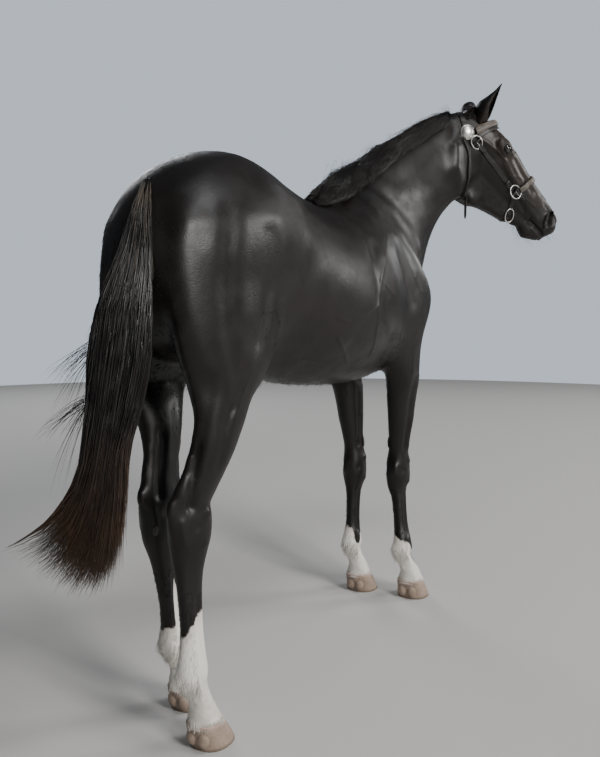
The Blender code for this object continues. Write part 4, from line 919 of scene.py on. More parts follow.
# %% [markdown]
# A stroke only moves the corners that are there, so the faces are divided first, where
# fine lines will fall. Then every stroke lifts or sinks the skin along its own slope.
# Last, the whole skin is drawn in by 2 mm, the depth of a summer coat.
# %% Divide and press the strokes in
COAT_DEPTH = 0.002
HEAD_FROM, LEGS_BELOW = 0.86, 0.72         # past this x is the head, under this z are the legs
FINEST = 0.0075                            # round a narrower line, faces are divided twice
EYE_REACH, NOSTRIL_REACH = 0.046, 0.034


def line_distance(points, line):
    line = np.array(line, float)
    best = np.linalg.norm(points - line[0], axis=1)
    for a, b in zip(line, line[1:]):
        span = b - a
        t = np.clip((points - a) @ span / max(span @ span, 1e-12), 0, 1)
        best = np.minimum(best, np.linalg.norm(points - a - t[:, None] * span, axis=1))
    return best


def near_line(points, line, reach):
    line = np.array(line, float)
    low, high = line.min(0) - reach, line.max(0) + reach
    inside = np.nonzero(((points > low) & (points < high)).all(1))[0]
    return inside, line_distance(points[inside], line)


def face_middles(obj):
    return triples(obj.data.polygons, "center")


def divide(obj, chosen):
    only(obj)
    bpy.ops.object.mode_set(mode="EDIT")
    bpy.ops.mesh.select_mode(type="FACE")
    bpy.ops.mesh.select_all(action="DESELECT")
    bpy.ops.object.mode_set(mode="OBJECT")
    obj.data.polygons.foreach_set("select", chosen)
    bpy.ops.object.mode_set(mode="EDIT")
    bpy.ops.mesh.subdivide(number_cuts=1)
    bpy.ops.object.mode_set(mode="OBJECT")


def snap_lines(strokes, tree):
    """Lays each line on the surface, so that a mirrored line fits a turned body."""
    return [([tuple(tree.find_nearest(Vector(p))[0]) for p in line], width, height)
            for line, width, height in strokes]


def press(obj, strokes):
    points, normals = points_of(obj), normals_of(obj)
    moved = np.zeros_like(points)
    for line, width, height in strokes:
        inside, distance = near_line(points, line, width * 2.6)
        moved[inside] += normals[inside] * (height * np.exp(-(distance / width) ** 2))[:, None]
    put_points(obj, points + moved)


def choose_near(chosen, middles, strokes, reach):
    for line, _, _ in strokes:
        inside, distance = near_line(middles, line, reach)
        chosen[inside[distance < reach]] = True


SOFT = surface_of(skin)
body_strokes = snap_lines([(line, width * 1.4, height * 0.55)
                           for points, width, height in BODY_STROKES
                           for line in both(points)], SOFT)
veins = snap_lines([(line, width, height * 0.8) for points, width, height in VEINS
                    for line in both(points)], SOFT)
leg_lines, head_lines = snap_lines(LEG_STROKES, SOFT), snap_lines(HEAD_STROKES, CLOSE)

middles = face_middles(skin)
chosen = (middles[:, 0] > HEAD_FROM) | (middles[:, 2] < LEGS_BELOW)
choose_near(chosen, middles, veins + [s for s in body_strokes if s[1] < SHARP], 0.013)
divide(skin, chosen)
EYES = [HEAD @ Vector((EYE_PLACE.x, side * EYE_PLACE.y, EYE_PLACE.z)) for side in (-1, 1)]
middles = face_middles(skin)
chosen = np.zeros(len(middles), bool)
choose_near(chosen, middles, [s for s in head_lines if s[1] < FINEST], 0.011)
for spot, reach in ([(eye, EYE_REACH) for eye in EYES]
                    + [(Vector(in_head(NOSTRIL, side)[1]), NOSTRIL_REACH) for side in (-1, 1)]):
    chosen |= np.linalg.norm(middles - np.array(spot), axis=1) < reach
divide(skin, chosen)

points = points_of(skin)
share = body_share(points)
pull = np.where(points[:, 0] > 0.9, np.clip((points[:, 0] - 0.9) / 0.03, 0, 1), 1 - share)
for i in np.nonzero(pull > 0.01)[0]:
    place = Vector(points[i])
    points[i] = place.lerp(CLOSE.find_nearest(place)[0], float(pull[i]))
put_points(skin, points)
apply(skin, "SMOOTH", factor=0.5, iterations=1)
press(skin, body_strokes + leg_lines + head_lines)
press(skin, veins)
# how far each corner is pushed into a nostril; the coat uses it to paint shade there, near black
deep = np.zeros(len(points))
for side in (-1, 1):                       # the nostril is pushed in, up and back
    points = points_of(skin)
    inward = HEAD.to_3x3() @ Vector((-0.55, -side * 0.80, 0.10)).normalized()
    inside, distance = near_line(points, in_head(NOSTRIL, side), 0.03)
    falloff = 1 / (1 + (distance / 0.0100) ** 6)
    points[inside] += np.array(inward) * (0.028 * falloff)[:, None]
    deep[inside] = np.maximum(deep[inside], falloff)
    put_points(skin, points)
put_points(skin, points_of(skin) - COAT_DEPTH * normals_of(skin))
attribute(skin, "deep", deep)
print("skin triangles:", sum(len(p.vertices) - 2 for p in skin.data.polygons))

# %% [markdown]
# ## The coat
# A black horse isn't black all over. The tips of the hair are bleached brown in places,
# the lie of the hair turns the light into satin, and the legs end in white socks. On the
# front of the face, where the light falls, a brown sheen is painted into the colour, and
# the inside of each nostril is painted near black as shade. The skin carries four
# attributes that the coat's material reads: `sock` is the height below a sock's edge,
# `bare` is where the hair thins on the muzzle and lids, the third marks the lit front of
# the face for the painted sheen, and `leg` is where the hair lies down the leg and not
# along the body.
# %% Where the socks are
SOCKS = {  # height of the edge, how much it slants, the direction in degrees of its high side
    "fore_right": (0.245, 0.020, 122.0),
    "fore_left": (0.265, 0.020, 122.0),
    "hind_right": (0.346, 0.036, -50.0),
    "hind_left": (0.270, 0.012, -60.0),
}
STRIPES = {  # direction in degrees, half-width in degrees, height added (dark is minus)
    "fore_right": (-48.0, 38.0, -0.090),
    "fore_left": (-115.0, 26.0, -0.045),
    "hind_left": (-95.0, 20.0, 0.125),
}


def nearest_leg(points):
    """Each point's leg, as a number, and the point's place from the middle of that leg."""
    found, away = np.zeros(len(points), int), np.full(len(points), 9.0)
    offset = np.zeros((len(points), 2))
    for number, leg in enumerate(LEGS):
        low, high = cannon(leg)
        _, joint, fetlock, toe = LEGS[leg]
        z = points[:, 2]
        up = np.clip((z - low) / (high - low), 0, 1)[:, None]
        down = np.clip((low - z) / (low - 0.08), 0, 1)[:, None]
        middle = np.array(fetlock) * (1 - up) + np.array(joint) * up
        middle = middle * (1 - down) + np.array(toe) * down
        from_middle = points[:, :2] - middle
        distance = np.linalg.norm(from_middle, axis=1)
        closer = distance < away
        found[closer], away[closer], offset[closer] = number, distance[closer], from_middle[closer]
    return found, offset


def sock_depth(points):
    """How far below the edge of its leg's white sock each point is, in metres."""
    legs, offset = nearest_leg(points)
    angle = np.degrees(np.arctan2(offset[:, 1], offset[:, 0]))
    depth = np.full(len(points), -1.0)
    for number, leg in enumerate(LEGS):
        mine = legs == number
        height, slant, high_side = SOCKS[leg]
        edge = height + slant * np.cos(np.radians(angle[mine] - high_side))
        if leg in STRIPES:
            direction, half_width, more = STRIPES[leg]
            away = np.abs((angle[mine] - direction + 180) % 360 - 180)
            edge = edge + more * np.exp(-(away / half_width) ** 4)
        depth[mine] = np.clip(edge - points[mine, 2], -0.3, 0.3)
    return depth


def bare_share(points):
    """1 on the muzzle and the rims of the eyes, where the skin shows through thin hair."""
    local = in_head_axes(points) / SCALE ** 2
    nose = np.clip((local[:, 0] - 0.520) / 0.045, 0, 1)
    share = np.where(np.abs(local[:, 1]) < 0.12, nose, 0)
    for eye in EYES:
        reach = np.linalg.norm(points - np.array(eye), axis=1)
        share = np.maximum(share, np.clip((0.036 - reach) / 0.012, 0, 1))
    return share


def painted_sheen_share(points):
    """1 on the upper front of the face, which faces the light: a brown sheen is painted there."""
    x, y, z = (in_head_axes(points) / SCALE ** 2).T
    share = np.clip((z + 0.035) / 0.035, 0, 1) * np.clip((x - 0.02) / 0.07, 0, 1)
    return share * np.clip((0.56 - x) / 0.10, 0, 1) * (np.abs(y) < 0.12)


def coat_attributes(obj):
    points = points_of(obj)
    attribute(obj, "sock", sock_depth(points))
    attribute(obj, "bare", bare_share(points))
    # painted sheen: the lit front of the face
    attribute(obj, "painted_sheen", painted_sheen_share(points))
    attribute(obj, "leg", np.clip((0.95 - points[:, 2]) / 0.2, 0, 1))


print("socks on", len(SOCKS), "legs")

# %% [markdown]
# The hair itself is flat and 15 mm long, so on the skin it is bump: fine streaks along the
# lie of the coat. Broad, faint swellings under them are the veins and folds too small
# for the mesh. The gloss is a rough layer with a smoother one over it, as on brushed hair.
# %% The coat's material
def coat_colour(tree, place):
    """Black with brown tips, white below the socks' edges, grey and bare at the muzzle, with a
    painted brown sheen on the lit front of the face and painted shade inside the nostrils.
    """
    sock = read(tree, "sock")
    bare = read(tree, "bare")
    cloud = patches(tree, place, 0.35, 0.6)
    speck = patches(tree, place, 0.02, 0.7)
    dark = blend(tree, cloud, (0.0034, 0.0029, 0.0028), (0.0092, 0.0062, 0.0048))
    # painted sheen: the lit front of the face is tinted brown in the colour itself
    painted_sheen = read(tree, "painted_sheen")
    dark = blend(tree, calc(tree, "MULTIPLY", painted_sheen, 0.8), dark, (0.026, 0.0175, 0.0125))
    ragged = add(tree, "TexNoise", place, Scale=60.0, Detail=3.0).outputs["Fac"]
    edge = calc(tree, "MULTIPLY_ADD", calc(tree, "SUBTRACT", ragged, 0.5), 0.030, sock)
    white = ramp(tree, edge, -0.004, 0.006)
    dirt = calc(tree, "MULTIPLY", speck, ramp(tree, sock, 0.12, 0.28, 0.10, 0.55))
    pale = blend(tree, dirt, (0.74, 0.71, 0.66), (0.42, 0.34, 0.26))
    pale = blend(tree, ramp(tree, sock, 0.0, 0.05, 0.22, 0.0), pale, (0.30, 0.22, 0.19))
    skin_tone = blend(tree, speck, (0.007, 0.006, 0.006), (0.020, 0.016, 0.015))
    dark = blend(tree, calc(tree, "MULTIPLY", bare, 0.8), dark, skin_tone)
    # painted shade: the inside of each nostril is made near black
    deep = read(tree, "deep")
    dark = blend(tree, ramp(tree, deep, 0.25, 0.75), dark, (0.0006, 0.0004, 0.0004))
    return blend(tree, white, dark, pale), white, bare


def make_coat():
    material, tree, shader = new_material("black coat", Specular_IOR_Level=0.34,
                                          Coat_Roughness=0.38, Coat_IOR=1.45)
    place = object_place(tree)
    colour, white, bare = coat_colour(tree, place)
    leg = read(tree, "leg")
    along = streaks(tree, place, (60, 330, 260))
    down = streaks(tree, place, (420, 420, 60))
    hair = add(tree, "Mix", leg, None, along, down, data_type="FLOAT")
    folds = add(tree, "TexNoise", place, Scale=18.0, Detail=3.0).outputs["Fac"]
    soft = bump(tree, folds, 0.004, 0.35)
    normal = bump(tree, hair.outputs[0], 0.0007, 0.55, Normal=soft)
    satin = ramp(tree, folds, 0.3, 0.7, 0.39, 0.49)
    rough = calc(tree, "MULTIPLY_ADD", white, 0.25, satin)
    rough = calc(tree, "MULTIPLY_ADD", bare, 0.08, rough)
    gloss = calc(tree, "MULTIPLY_ADD", white, -0.08, 0.08, clamp=True)
    feed(tree, shader, Base_Color=colour, Roughness=rough, Normal=normal, Coat_Weight=gloss)
    return material


COAT = make_coat()
print("coat nodes:", len(COAT.node_tree.nodes))

# %% [markdown]
# ## Ears, eyes and lids
# A horse's ear is a leaf of cartilage rolled into a tube at its base, open to one side
# and pointed. It is drawn as a grid that wraps round the ear's axis less and less on
# the way up, and gets its thickness from Solidify.
# %% The ears
EARS = {  # base, where the tip points and where the hollow faces, in the head's axes
    "right": ((0.058, -0.054, 0.040), (-0.36, -0.26, 0.90), (0.80, -0.60, 0.10)),
    "left": ((0.026, 0.052, 0.030), (0.09, 0.80, 0.72), (0.55, 0.50, -0.66)),
}
EAR_ROWS = np.array([  # height, half-width, front and back depth, lean, wrap in degrees
    (-0.16, 0.020, 0.020, 0.034, 0.000, 180),
    (0.00, 0.026, 0.024, 0.037, 0.000, 179),
    (0.14, 0.032, 0.025, 0.047, -0.001, 156),
    (0.34, 0.034, 0.022, 0.041, -0.002, 134),
    (0.56, 0.026, 0.016, 0.022, -0.001, 120),
    (0.78, 0.015, 0.009, 0.008, 0.001, 108),
    (0.93, 0.007, 0.004, 0.004, 0.002, 100),
    (1.00, 0.0016, 0.001, 0.002, 0.004, 95),
])


EAR_COLUMNS = 31                          # corners from one rim round the back to the other


def ear_frame(hand):
    base, direction, opening = EARS[hand]
    z = (HEAD.to_3x3() @ Vector(direction)).normalized()
    y = z.cross(HEAD.to_3x3() @ Vector(opening)).normalized()
    return HEAD @ Vector(base), y.cross(z), y, z


def ear_point(hand, height, share, inset=0.0):
    """A point of the ear's shell: `share` runs from one rim, -1, round the back to the other, 1."""
    origin, x, y, z = ear_frame(hand)
    wide, front, back, lean, wrap = (np.interp(height, EAR_ROWS[:, 0], EAR_ROWS[:, k])
                                     for k in range(1, 6))
    angle = math.radians(wrap) * share
    s, c = math.sin(angle), math.cos(angle)
    deep = -back * c if c > 0 else -front * c
    ridge = 0.0012 * math.cos(angle * 5) * max(0.0, 1 - height)
    shrink = 1 - inset / max(wide, 0.004)
    return (origin + z * (height * EAR_LENGTH) + x * (lean + (deep - ridge) * shrink)
            + y * wide * s * shrink)


def make_ear(hand):
    bm = bmesh.new()
    heights = np.concatenate([np.linspace(-0.16, 0.9, 30), [0.94, 0.97, 0.99, 1.0]])
    shares = np.linspace(-1, 1, EAR_COLUMNS)
    grid = [[bm.verts.new(ear_point(hand, h, share)) for share in shares] for h in heights]
    for a, b in zip(grid, grid[1:]):
        for k in range(len(a) - 1):
            bm.faces.new((a[k], a[k + 1], b[k + 1], b[k]))
    obj = new_object("ear_shell_" + hand, bm)
    on_back = EAR_COLUMNS // 2 + EAR_COLUMNS * 12      # a corner of the ear's back
    if normals_of(obj)[on_back] @ np.array(ear_frame(hand)[1] * -1) < 0:
        obj.data.flip_normals()
    apply(obj, "SMOOTH", factor=0.4, iterations=2)
    apply(obj, "SOLIDIFY", thickness=0.0030, offset=-1.0)
    return obj


ear_shells = [make_ear(hand) for hand in EARS]
print("ear shell:", len(ear_shells[0].data.polygons), "faces")

# %% [markdown]
# The eye is a ball as big as a billiard ball, set at the side of the skull and looking a
# little forwards. Each lid is a fold of skin that lies on the ball, with a rim 2 mm
# thick, and runs out under the brow. The lids are a ring of rays round the opening, which
# is a slanted almond, and each ray leaves the ball and meets the skin.
# %% The lids
RIM = 0.0019                              # thickness of a lid's edge


def eye_frame(side):
    """Where the ball is and its axes: forwards, up and out of the head."""
    turn = HEAD.to_3x3()
    out = (turn @ Vector((0.24, side, 0.06))).normalized()
    fore = turn @ Vector((1, 0, -0.12))
    fore = (fore - out * fore.dot(out)).normalized()
    up = fore.cross(out) * side
    return EYES[0 if side < 0 else 1], fore, up.normalized(), out


def opening(turn):
    """Half-angle of the eye's opening, seen along each direction round it, in radians."""
    c, s = math.cos(turn), math.sin(turn)
    long = 0.86 if c > 0 else 0.80
    high = 0.56 if s > 0 else 0.42
    pinch = abs(s) ** 0.25 * 0.12
    return 1 / math.sqrt((c / long) ** 2 + (s / high) ** 2) * (1.04 - pinch * abs(c))


def ray(side, turn, angle):
    _, fore, up, out = eye_frame(side)
    flat = fore * math.cos(turn) + up * math.sin(turn)
    return out * math.cos(angle) + flat * math.sin(angle)


def make_lids(side, tree):
    centre = eye_frame(side)[0]
    around, outward, reach = 56, 12, 1.30
    bm = bmesh.new()
    rings = []
    for k in range(outward + 2):
        ring = []
        for j in range(around):
            turn = 2 * math.pi * j / around
            edge = opening(turn)
            if k == 0:
                direction, radius = ray(side, turn, edge - 0.02), EYE_RADIUS - 0.001
            else:
                t = (k - 1) / outward
                direction = ray(side, turn, edge + (reach - edge) * t)
                hit = tree.ray_cast(centre + direction * 0.012, direction, 0.06)
                skin_radius = 0.012 + hit[3] if hit[3] else EYE_RADIUS + 0.004
                soft = t * t * (3 - 2 * t)
                crease = 0.0016 * math.exp(-((t - 0.52) / 0.13) ** 2)
                roll = 0.0010 * math.exp(-((t - 0.12) / 0.14) ** 2)
                radius = (EYE_RADIUS + RIM) * (1 - soft) + (skin_radius + 0.0004) * soft
                radius += (roll - crease) * (1.0 if math.sin(turn) > -0.2 else 0.6)
            ring.append(bm.verts.new(centre + direction * radius))
        rings.append(ring)
    cover(bm, rings, caps=False)
    obj = new_object("lids", bm)
    face_out(obj, centre)
    apply(obj, "SOLIDIFY", thickness=0.0010, offset=-1.0)
    return obj


def sink_round_eye(side):
    """Draws the skin in behind the ball, where the lids cover it."""
    centre, _, _, out = eye_frame(side)
    points = points_of(skin)
    away = points - np.array(centre)
    distance = np.linalg.norm(away, axis=1)
    angle = np.arccos(np.clip(away @ np.array(out) / np.maximum(distance, 1e-6), -1, 1))
    inside = (distance < 0.050) & (angle < 1.18)
    points[inside] = np.array(centre) + away[inside] / distance[inside, None] * np.minimum(
        distance[inside], EYE_RADIUS - 0.005)[:, None]
    put_points(skin, points)


tree = surface_of(skin)
lids = [make_lids(side, tree) for side in (-1, 1)]
for side in (-1, 1):
    sink_round_eye(side)
print("lids:", len(lids[0].data.polygons), "faces")

# %% [markdown]
# The ball itself is almost all that shows, since a horse's eye has no white in view: a
# dark brown iris and a long level pupil behind a bulging, wet cornea. Its material
# reads two attributes, the angle from the eye's axis and the pupil's own oval.
# %% The eyes
def make_eye(side, name):
    centre, fore, up, out = eye_frame(side)
    bpy.ops.object.select_all(action="DESELECT")
    bpy.ops.mesh.primitive_uv_sphere_add(segments=48, ring_count=32, radius=EYE_RADIUS)
    obj = bpy.context.object
    obj.name = name
    points = points_of(obj)
    angle = np.arccos(np.clip(points[:, 2] / EYE_RADIUS, -1, 1))
    points *= (1 + 0.085 * np.clip(1 - (angle / 0.62) ** 2, 0, 1))[:, None]
    attribute(obj, "iris", angle)
    attribute(obj, "pupil", np.hypot(points[:, 0] / 0.0078, points[:, 1] / 0.0036))
    turn = np.array([fore, up, out])
    put_points(obj, points @ turn + np.array(centre))
    face_out(obj, centre)
    return obj


def make_eye_material():
    material, tree, shader = new_material("wet dark eye", Roughness=0.06, Specular_IOR_Level=0.6,
                                          Coat_Weight=1.0, Coat_Roughness=0.02)
    place = object_place(tree)
    iris = read(tree, "iris")
    pupil = read(tree, "pupil")
    threads = streaks(tree, place, (500, 500, 500))
    brown = blend(tree, threads, (0.005, 0.0025, 0.0015), (0.022, 0.010, 0.005))
    colour = blend(tree, ramp(tree, iris, 0.55, 0.68), brown, (0.005, 0.004, 0.004))
    colour = blend(tree, ramp(tree, iris, 1.05, 1.25), colour, (0.05, 0.04, 0.036))
    colour = blend(tree, ramp(tree, pupil, 0.85, 1.05), (0.001, 0.001, 0.0015), colour)
    feed(tree, shader, Base_Color=colour)
    return material


EYE_WET = make_eye_material()
eyes = {hand: make_eye(side, "eyeball_" + hand) for side, hand in ((-1, "right"), (1, "left"))}
print("eye ball radius", EYE_RADIUS)

# %% [markdown]
# Ears and lids are joined to the skin as parts of one piece, so that they share its
# coat and no seam shows between them.
# %% One skin
bpy.ops.object.select_all(action="DESELECT")
for part in ear_shells + lids + [skin]:
    part.select_set(True)
bpy.context.view_layer.objects.active = skin
bpy.ops.object.join()
print("skin triangles:", sum(len(p.vertices) - 2 for p in skin.data.polygons))

# %% [markdown]
# ## Long hair
# Mane, forelock and tail hang in locks. A hair itself is too fine to model, but a lock of
# some dozens of hairs that cling together is a millimetre or two thick, with a sharp
# tip. Each lock here is a thin closed strip with a three-cornered section that follows
# its own path, and thousands of them overlap. A group of locks shares a wave, so that
# the hair parts into strands as real hair does.
# %% How a lock is made
ROUND = 3                                 # corners of a lock's section
PATCH = 0.003                             # size of a lock's place on the OFBake map


def lock_mesh(name, paths, widths, outward, roots, **shades):
    """Joined locks: `paths` (lock, step, xyz), `widths` (lock, step), `outward` the side that
    faces away from the skin, `roots` each lock's place on the unwrapped skin."""
    count, steps, _ = paths.shape
    tangent = np.gradient(paths, axis=1)
    tangent /= np.linalg.norm(tangent, axis=2, keepdims=True) + 1e-9
    side = np.cross(tangent, outward)
    side /= np.linalg.norm(side, axis=2, keepdims=True) + 1e-9
    lift = np.cross(side, tangent)
    wide, thick = widths[..., None] * 0.5, widths[..., None] * 0.32
    ring = np.stack([paths + side * wide - lift * thick * 0.5, paths + lift * thick,
                     paths - side * wide - lift * thick * 0.5], axis=2)
    points = ring.reshape(-1, 3)
    start = (np.arange(count) * steps * ROUND)[:, None, None]
    step = (np.arange(steps - 1) * ROUND)[None, :, None]
    corner = np.arange(ROUND)[None, None, :]
    a, b = start + step + corner, start + step + (corner + 1) % ROUND
    quads = np.stack([a, b, b + ROUND, a + ROUND], axis=-1).reshape(-1, 4)
    first = start[:, 0] + np.array([[2, 1, 0]])
    last = start[:, 0] + (steps - 1) * ROUND + np.array([[0, 1, 2]])
    caps = np.concatenate([first, last])
    mesh = bpy.data.meshes.new(name)
    corners = np.concatenate([quads.ravel(), caps.ravel()])
    starts = np.concatenate([np.arange(len(quads)) * 4,
                             len(quads) * 4 + np.arange(len(caps)) * 3])
    mesh.vertices.add(len(points))
    mesh.vertices.foreach_set("co", points.astype(np.float32).ravel())
    mesh.loops.add(len(corners))
    mesh.loops.foreach_set("vertex_index", corners.astype(np.int32))
    mesh.polygons.add(len(starts))
    mesh.polygons.foreach_set("loop_start", starts.astype(np.int32))
    mesh.update(calc_edges=True)
    along = np.linspace(0, 1, steps)
    place = np.empty((count, steps, ROUND, 2))
    place[..., 0] = roots[:, None, None, 0] + PATCH * np.array([0.0, 0.5, 1.0])
    place[..., 1] = roots[:, None, None, 1] + PATCH * along[None, :, None]
    flat = place.reshape(-1, 2)[corners]
    layer = mesh.uv_layers.new(name="OFBake")
    layer.data.foreach_set("uv", flat.astype(np.float32).ravel())
    obj = bpy.data.objects.new(name, mesh)
    bpy.context.scene.collection.objects.link(obj)
    attribute(obj, "along", np.broadcast_to(along[None, :, None], (count, steps, ROUND)).ravel())
    for label, values in shades.items():
        attribute(obj, label, np.repeat(values, steps * ROUND))
    print(name, count, "locks,", 2 * len(quads) + len(caps), "triangles")
    return obj


def taper(steps, count, size, root=0.6, tip=0.12):
    """A lock's width along it: thin where it leaves the skin, full, then drawn out to a tip."""
    t = np.linspace(0, 1, steps)
    shape = np.minimum(root + (1 - root) * t / 0.25, 1) * (tip + (1 - tip) * (1 - t ** 2.2))
    return shape[None, :] * np.asarray(size).reshape(-1, 1) * np.ones((count, 1))


def resample(rows, at):
    """Values of a table's rows at any places from 0 to 1 along it."""
    rows = np.array(rows, float)
    where = np.clip(at, 0, 1) * (len(rows) - 1)
    return np.stack([np.interp(where, np.arange(len(rows)), rows[:, k])
                     for k in range(rows.shape[1])], axis=-1)


HAIR_ROWS = 24                            # smooth rows between two of a table's
print("a lock of the mane has", 9 * ROUND * 2 + 2, "triangles")

# %% [markdown]
# The mane grows from the crest of the neck. The wind has laid it back along the neck
# on the right side, so a lock rises a little from the crest, turns backwards and lies
# in long waves above a clean lower edge. Locks of one bunch share the place, the wave
# and the reach, and the bunches overlap like tiles.
# %% The mane
MANE = smooth_rows([(*row, 0) for row in [
    # crest x, y, z; lower edge on the right side x, y, z; how far it stands off and is blown up
    (0.045, -0.008, 1.503, 0.045, -0.050, 1.490, 0.006, 0.000),
    (0.090, -0.008, 1.513, 0.080, -0.068, 1.500, 0.012, 0.022),
    (0.180, -0.008, 1.545, 0.160, -0.080, 1.530, 0.022, 0.050),
    (0.300, -0.008, 1.590, 0.280, -0.085, 1.565, 0.030, 0.056),
    (0.420, -0.008, 1.648, 0.390, -0.087, 1.616, 0.034, 0.048),
    (0.540, -0.016, 1.718, 0.510, -0.092, 1.673, 0.036, 0.026),
    (0.650, -0.040, 1.782, 0.620, -0.109, 1.727, 0.035, 0.014),
    (0.760, -0.082, 1.842, 0.730, -0.138, 1.790, 0.033, 0.016),
    (0.850, -0.126, 1.888, 0.810, -0.176, 1.840, 0.030, 0.013),
    (0.898, -0.150, 1.910, 0.860, -0.196, 1.866, 0.022, 0.010),
    (0.914, -0.157, 1.912, 0.886, -0.199, 1.880, 0.010, 0.008),
]], HAIR_ROWS)
MANE_OUT = np.array([0, -0.8, 0.6])
BUNCHES = 46                              # bunches of locks along the mane
ROOT_DEPTH = 0.004                        # how deep a root sits in the skin
SKIN = surface_of(skin)
for row in MANE:                          # the crest is the skin's own, the top stays
    top = SKIN.ray_cast(Vector((row[0], row[1], row[2] + 0.2)), Vector((0, 0, -1)))[0]
    drop = max(row[2] - (top.z - ROOT_DEPTH), 0.0)
    row[2] -= drop
    row[7] = 0.9 * row[7] + drop
    edge = Vector(row[3:6])                # the lower edge rests on the neck
    row[3:6] = edge.lerp(SKIN.find_nearest(edge)[0], 0.80)


def mane_place(s, down, lift):
    """A point of the mane: along the crest, down its right side, and off the neck."""
    row = resample(MANE, s)
    crest, edge, stand, blown = row[..., 0:3], row[..., 3:6], row[..., 6:7], row[..., 7:8]
    hump = 0.45 + 0.55 * np.sin(np.clip(down, 0, 1.2) * math.pi * 0.62)
    high = np.clip(1.0 - 0.75 * down ** 1.5, 0, 1) * lift
    side = crest + (edge - crest) * down[..., None]
    side = side + MANE_OUT * stand * (hump * lift)[..., None]
    return side + np.array([0, 0, 1.0]) * blown * high[..., None]


def make_mane(seed, count, size, lift, reach):
    rng = np.random.default_rng(seed)
    steps = 10
    t = np.linspace(0, 1, steps)[None, :]
    bunch = np.sort(rng.uniform(0.16, 1.0, BUNCHES))
    mine = rng.integers(0, len(bunch), count)
    own = rng.normal(0, 1, (count, 4))
    wave, swing, far = rng.uniform(0, 6.28, BUNCHES)[mine], rng.uniform(.5, 1.3, BUNCHES)[mine], \
        rng.uniform(0.75, 1.15, BUNCHES)[mine]
    root = np.clip(bunch[mine] + own[:, 0] * 0.018, 0.05, 0.995)
    length = reach * far * (1 + 0.18 * own[:, 1]) * np.clip(0.45 + root, 0, 1)
    s = root[:, None] - length[:, None] * (t ** 1.25)
    spread = (own[:, 2] * 0.10)[:, None] * (1 - 0.5 * t)
    final = (0.62 + 0.34 * np.sin(wave * 1.7) + 0.12 * own[:, 3])[:, None]
    down = final * t ** 0.8 + spread * t
    down = down + (0.24 * swing)[:, None] * np.sin(8.5 * t + wave[:, None]) * t ** 0.7
    down = np.clip(down, -0.12, 1.14)
    tier = rng.uniform(0.66, 1.0, BUNCHES)[mine][:, None]
    raised = lift * tier * (0.90 + 0.28 * np.sin(8.0 * t + 2.1 * wave[:, None]) * t) \
        * (0.04 + 0.96 * np.sin(np.minimum(t * 2.4, 1.0) * math.pi / 2))
    raised = raised * (1 + 0.05 * own[:, 1:2])
    paths = mane_place(s, down, raised)
    paths += rng.normal(0, 0.0012, (count, 1, 3)) * t[..., None]
    outward = np.broadcast_to(MANE_OUT, paths.shape)
    widths = taper(steps, count, rng.uniform(0.6, 1.25, count) * size)
    uv = np.stack([0.03 + 0.93 * root, 0.1 + 0.35 * rng.uniform(0, 1, count)], axis=1)
    return paths, widths, outward, uv, rng.uniform(0, 1, count)


def stray_mane(seed, count):
    """Single hairs that the wind lifts over the crest."""
    rng = np.random.default_rng(seed)
    steps = 10
    t = np.linspace(0, 1, steps)[None, :]
    root = rng.uniform(0.25, 1.0, count)
    length = rng.uniform(0.05, 0.13, count)[:, None]
    s = root[:, None] - length * t ** 1.1
    down = rng.uniform(-0.05, 0.5, count)[:, None] * t
    raised = 0.7 + rng.uniform(0.2, 0.7, count)[:, None] * np.sin(t * 2.6) \
        + 0.2 * np.sin(8 * t + root[:, None] * 40)
    paths = mane_place(s, down, raised)
    outward = np.broadcast_to(MANE_OUT, paths.shape)
    widths = taper(steps, count, rng.uniform(0.5, 0.9, count) * 0.0011)
    uv = np.stack([0.03 + 0.93 * root, 0.50 + 0.1 * rng.uniform(0, 1, count)], axis=1)
    return paths, widths, outward, uv, rng.uniform(0.3, 1, count)


def left_of_mane(seed, count):
    """Locks that rise from the left side of the crest and are laid back over it."""
    rng = np.random.default_rng(seed)
    steps = 10
    t = np.linspace(0, 1, steps)[None, :]
    root = rng.uniform(0.10, 1.0, count)
    s = root[:, None] - rng.uniform(0.07, 0.17, count)[:, None] * t ** 1.15
    high = rng.uniform(0.25, 0.9, count)[:, None]
    up = high * np.sin(np.minimum(t * 1.5, 1.0) * math.pi / 2)
    row = resample(MANE, s)
    paths = row[..., 0:3] + np.array([0, 0, 1.0]) * row[..., 7:8] * up[..., None]
    paths[..., 1] += 0.012 - 0.010 * up + 0.004 * np.sin(9 * t + 40 * root[:, None]) * t
    outward = np.broadcast_to(np.array([0, 0.9, 0.4]), paths.shape)
    widths = taper(steps, count, rng.uniform(0.6, 1.2, count) * 0.0034)
    uv = np.stack([0.03 + 0.93 * root, 0.62 + 0.1 * high[:, 0]], axis=1)
    return paths, widths, outward, uv, rng.uniform(0, 1, count)


def joined(name, parts):
    arrays = [np.concatenate(group) for group in zip(*parts)]
    return lock_mesh(name, *arrays[:4], shade=arrays[4])


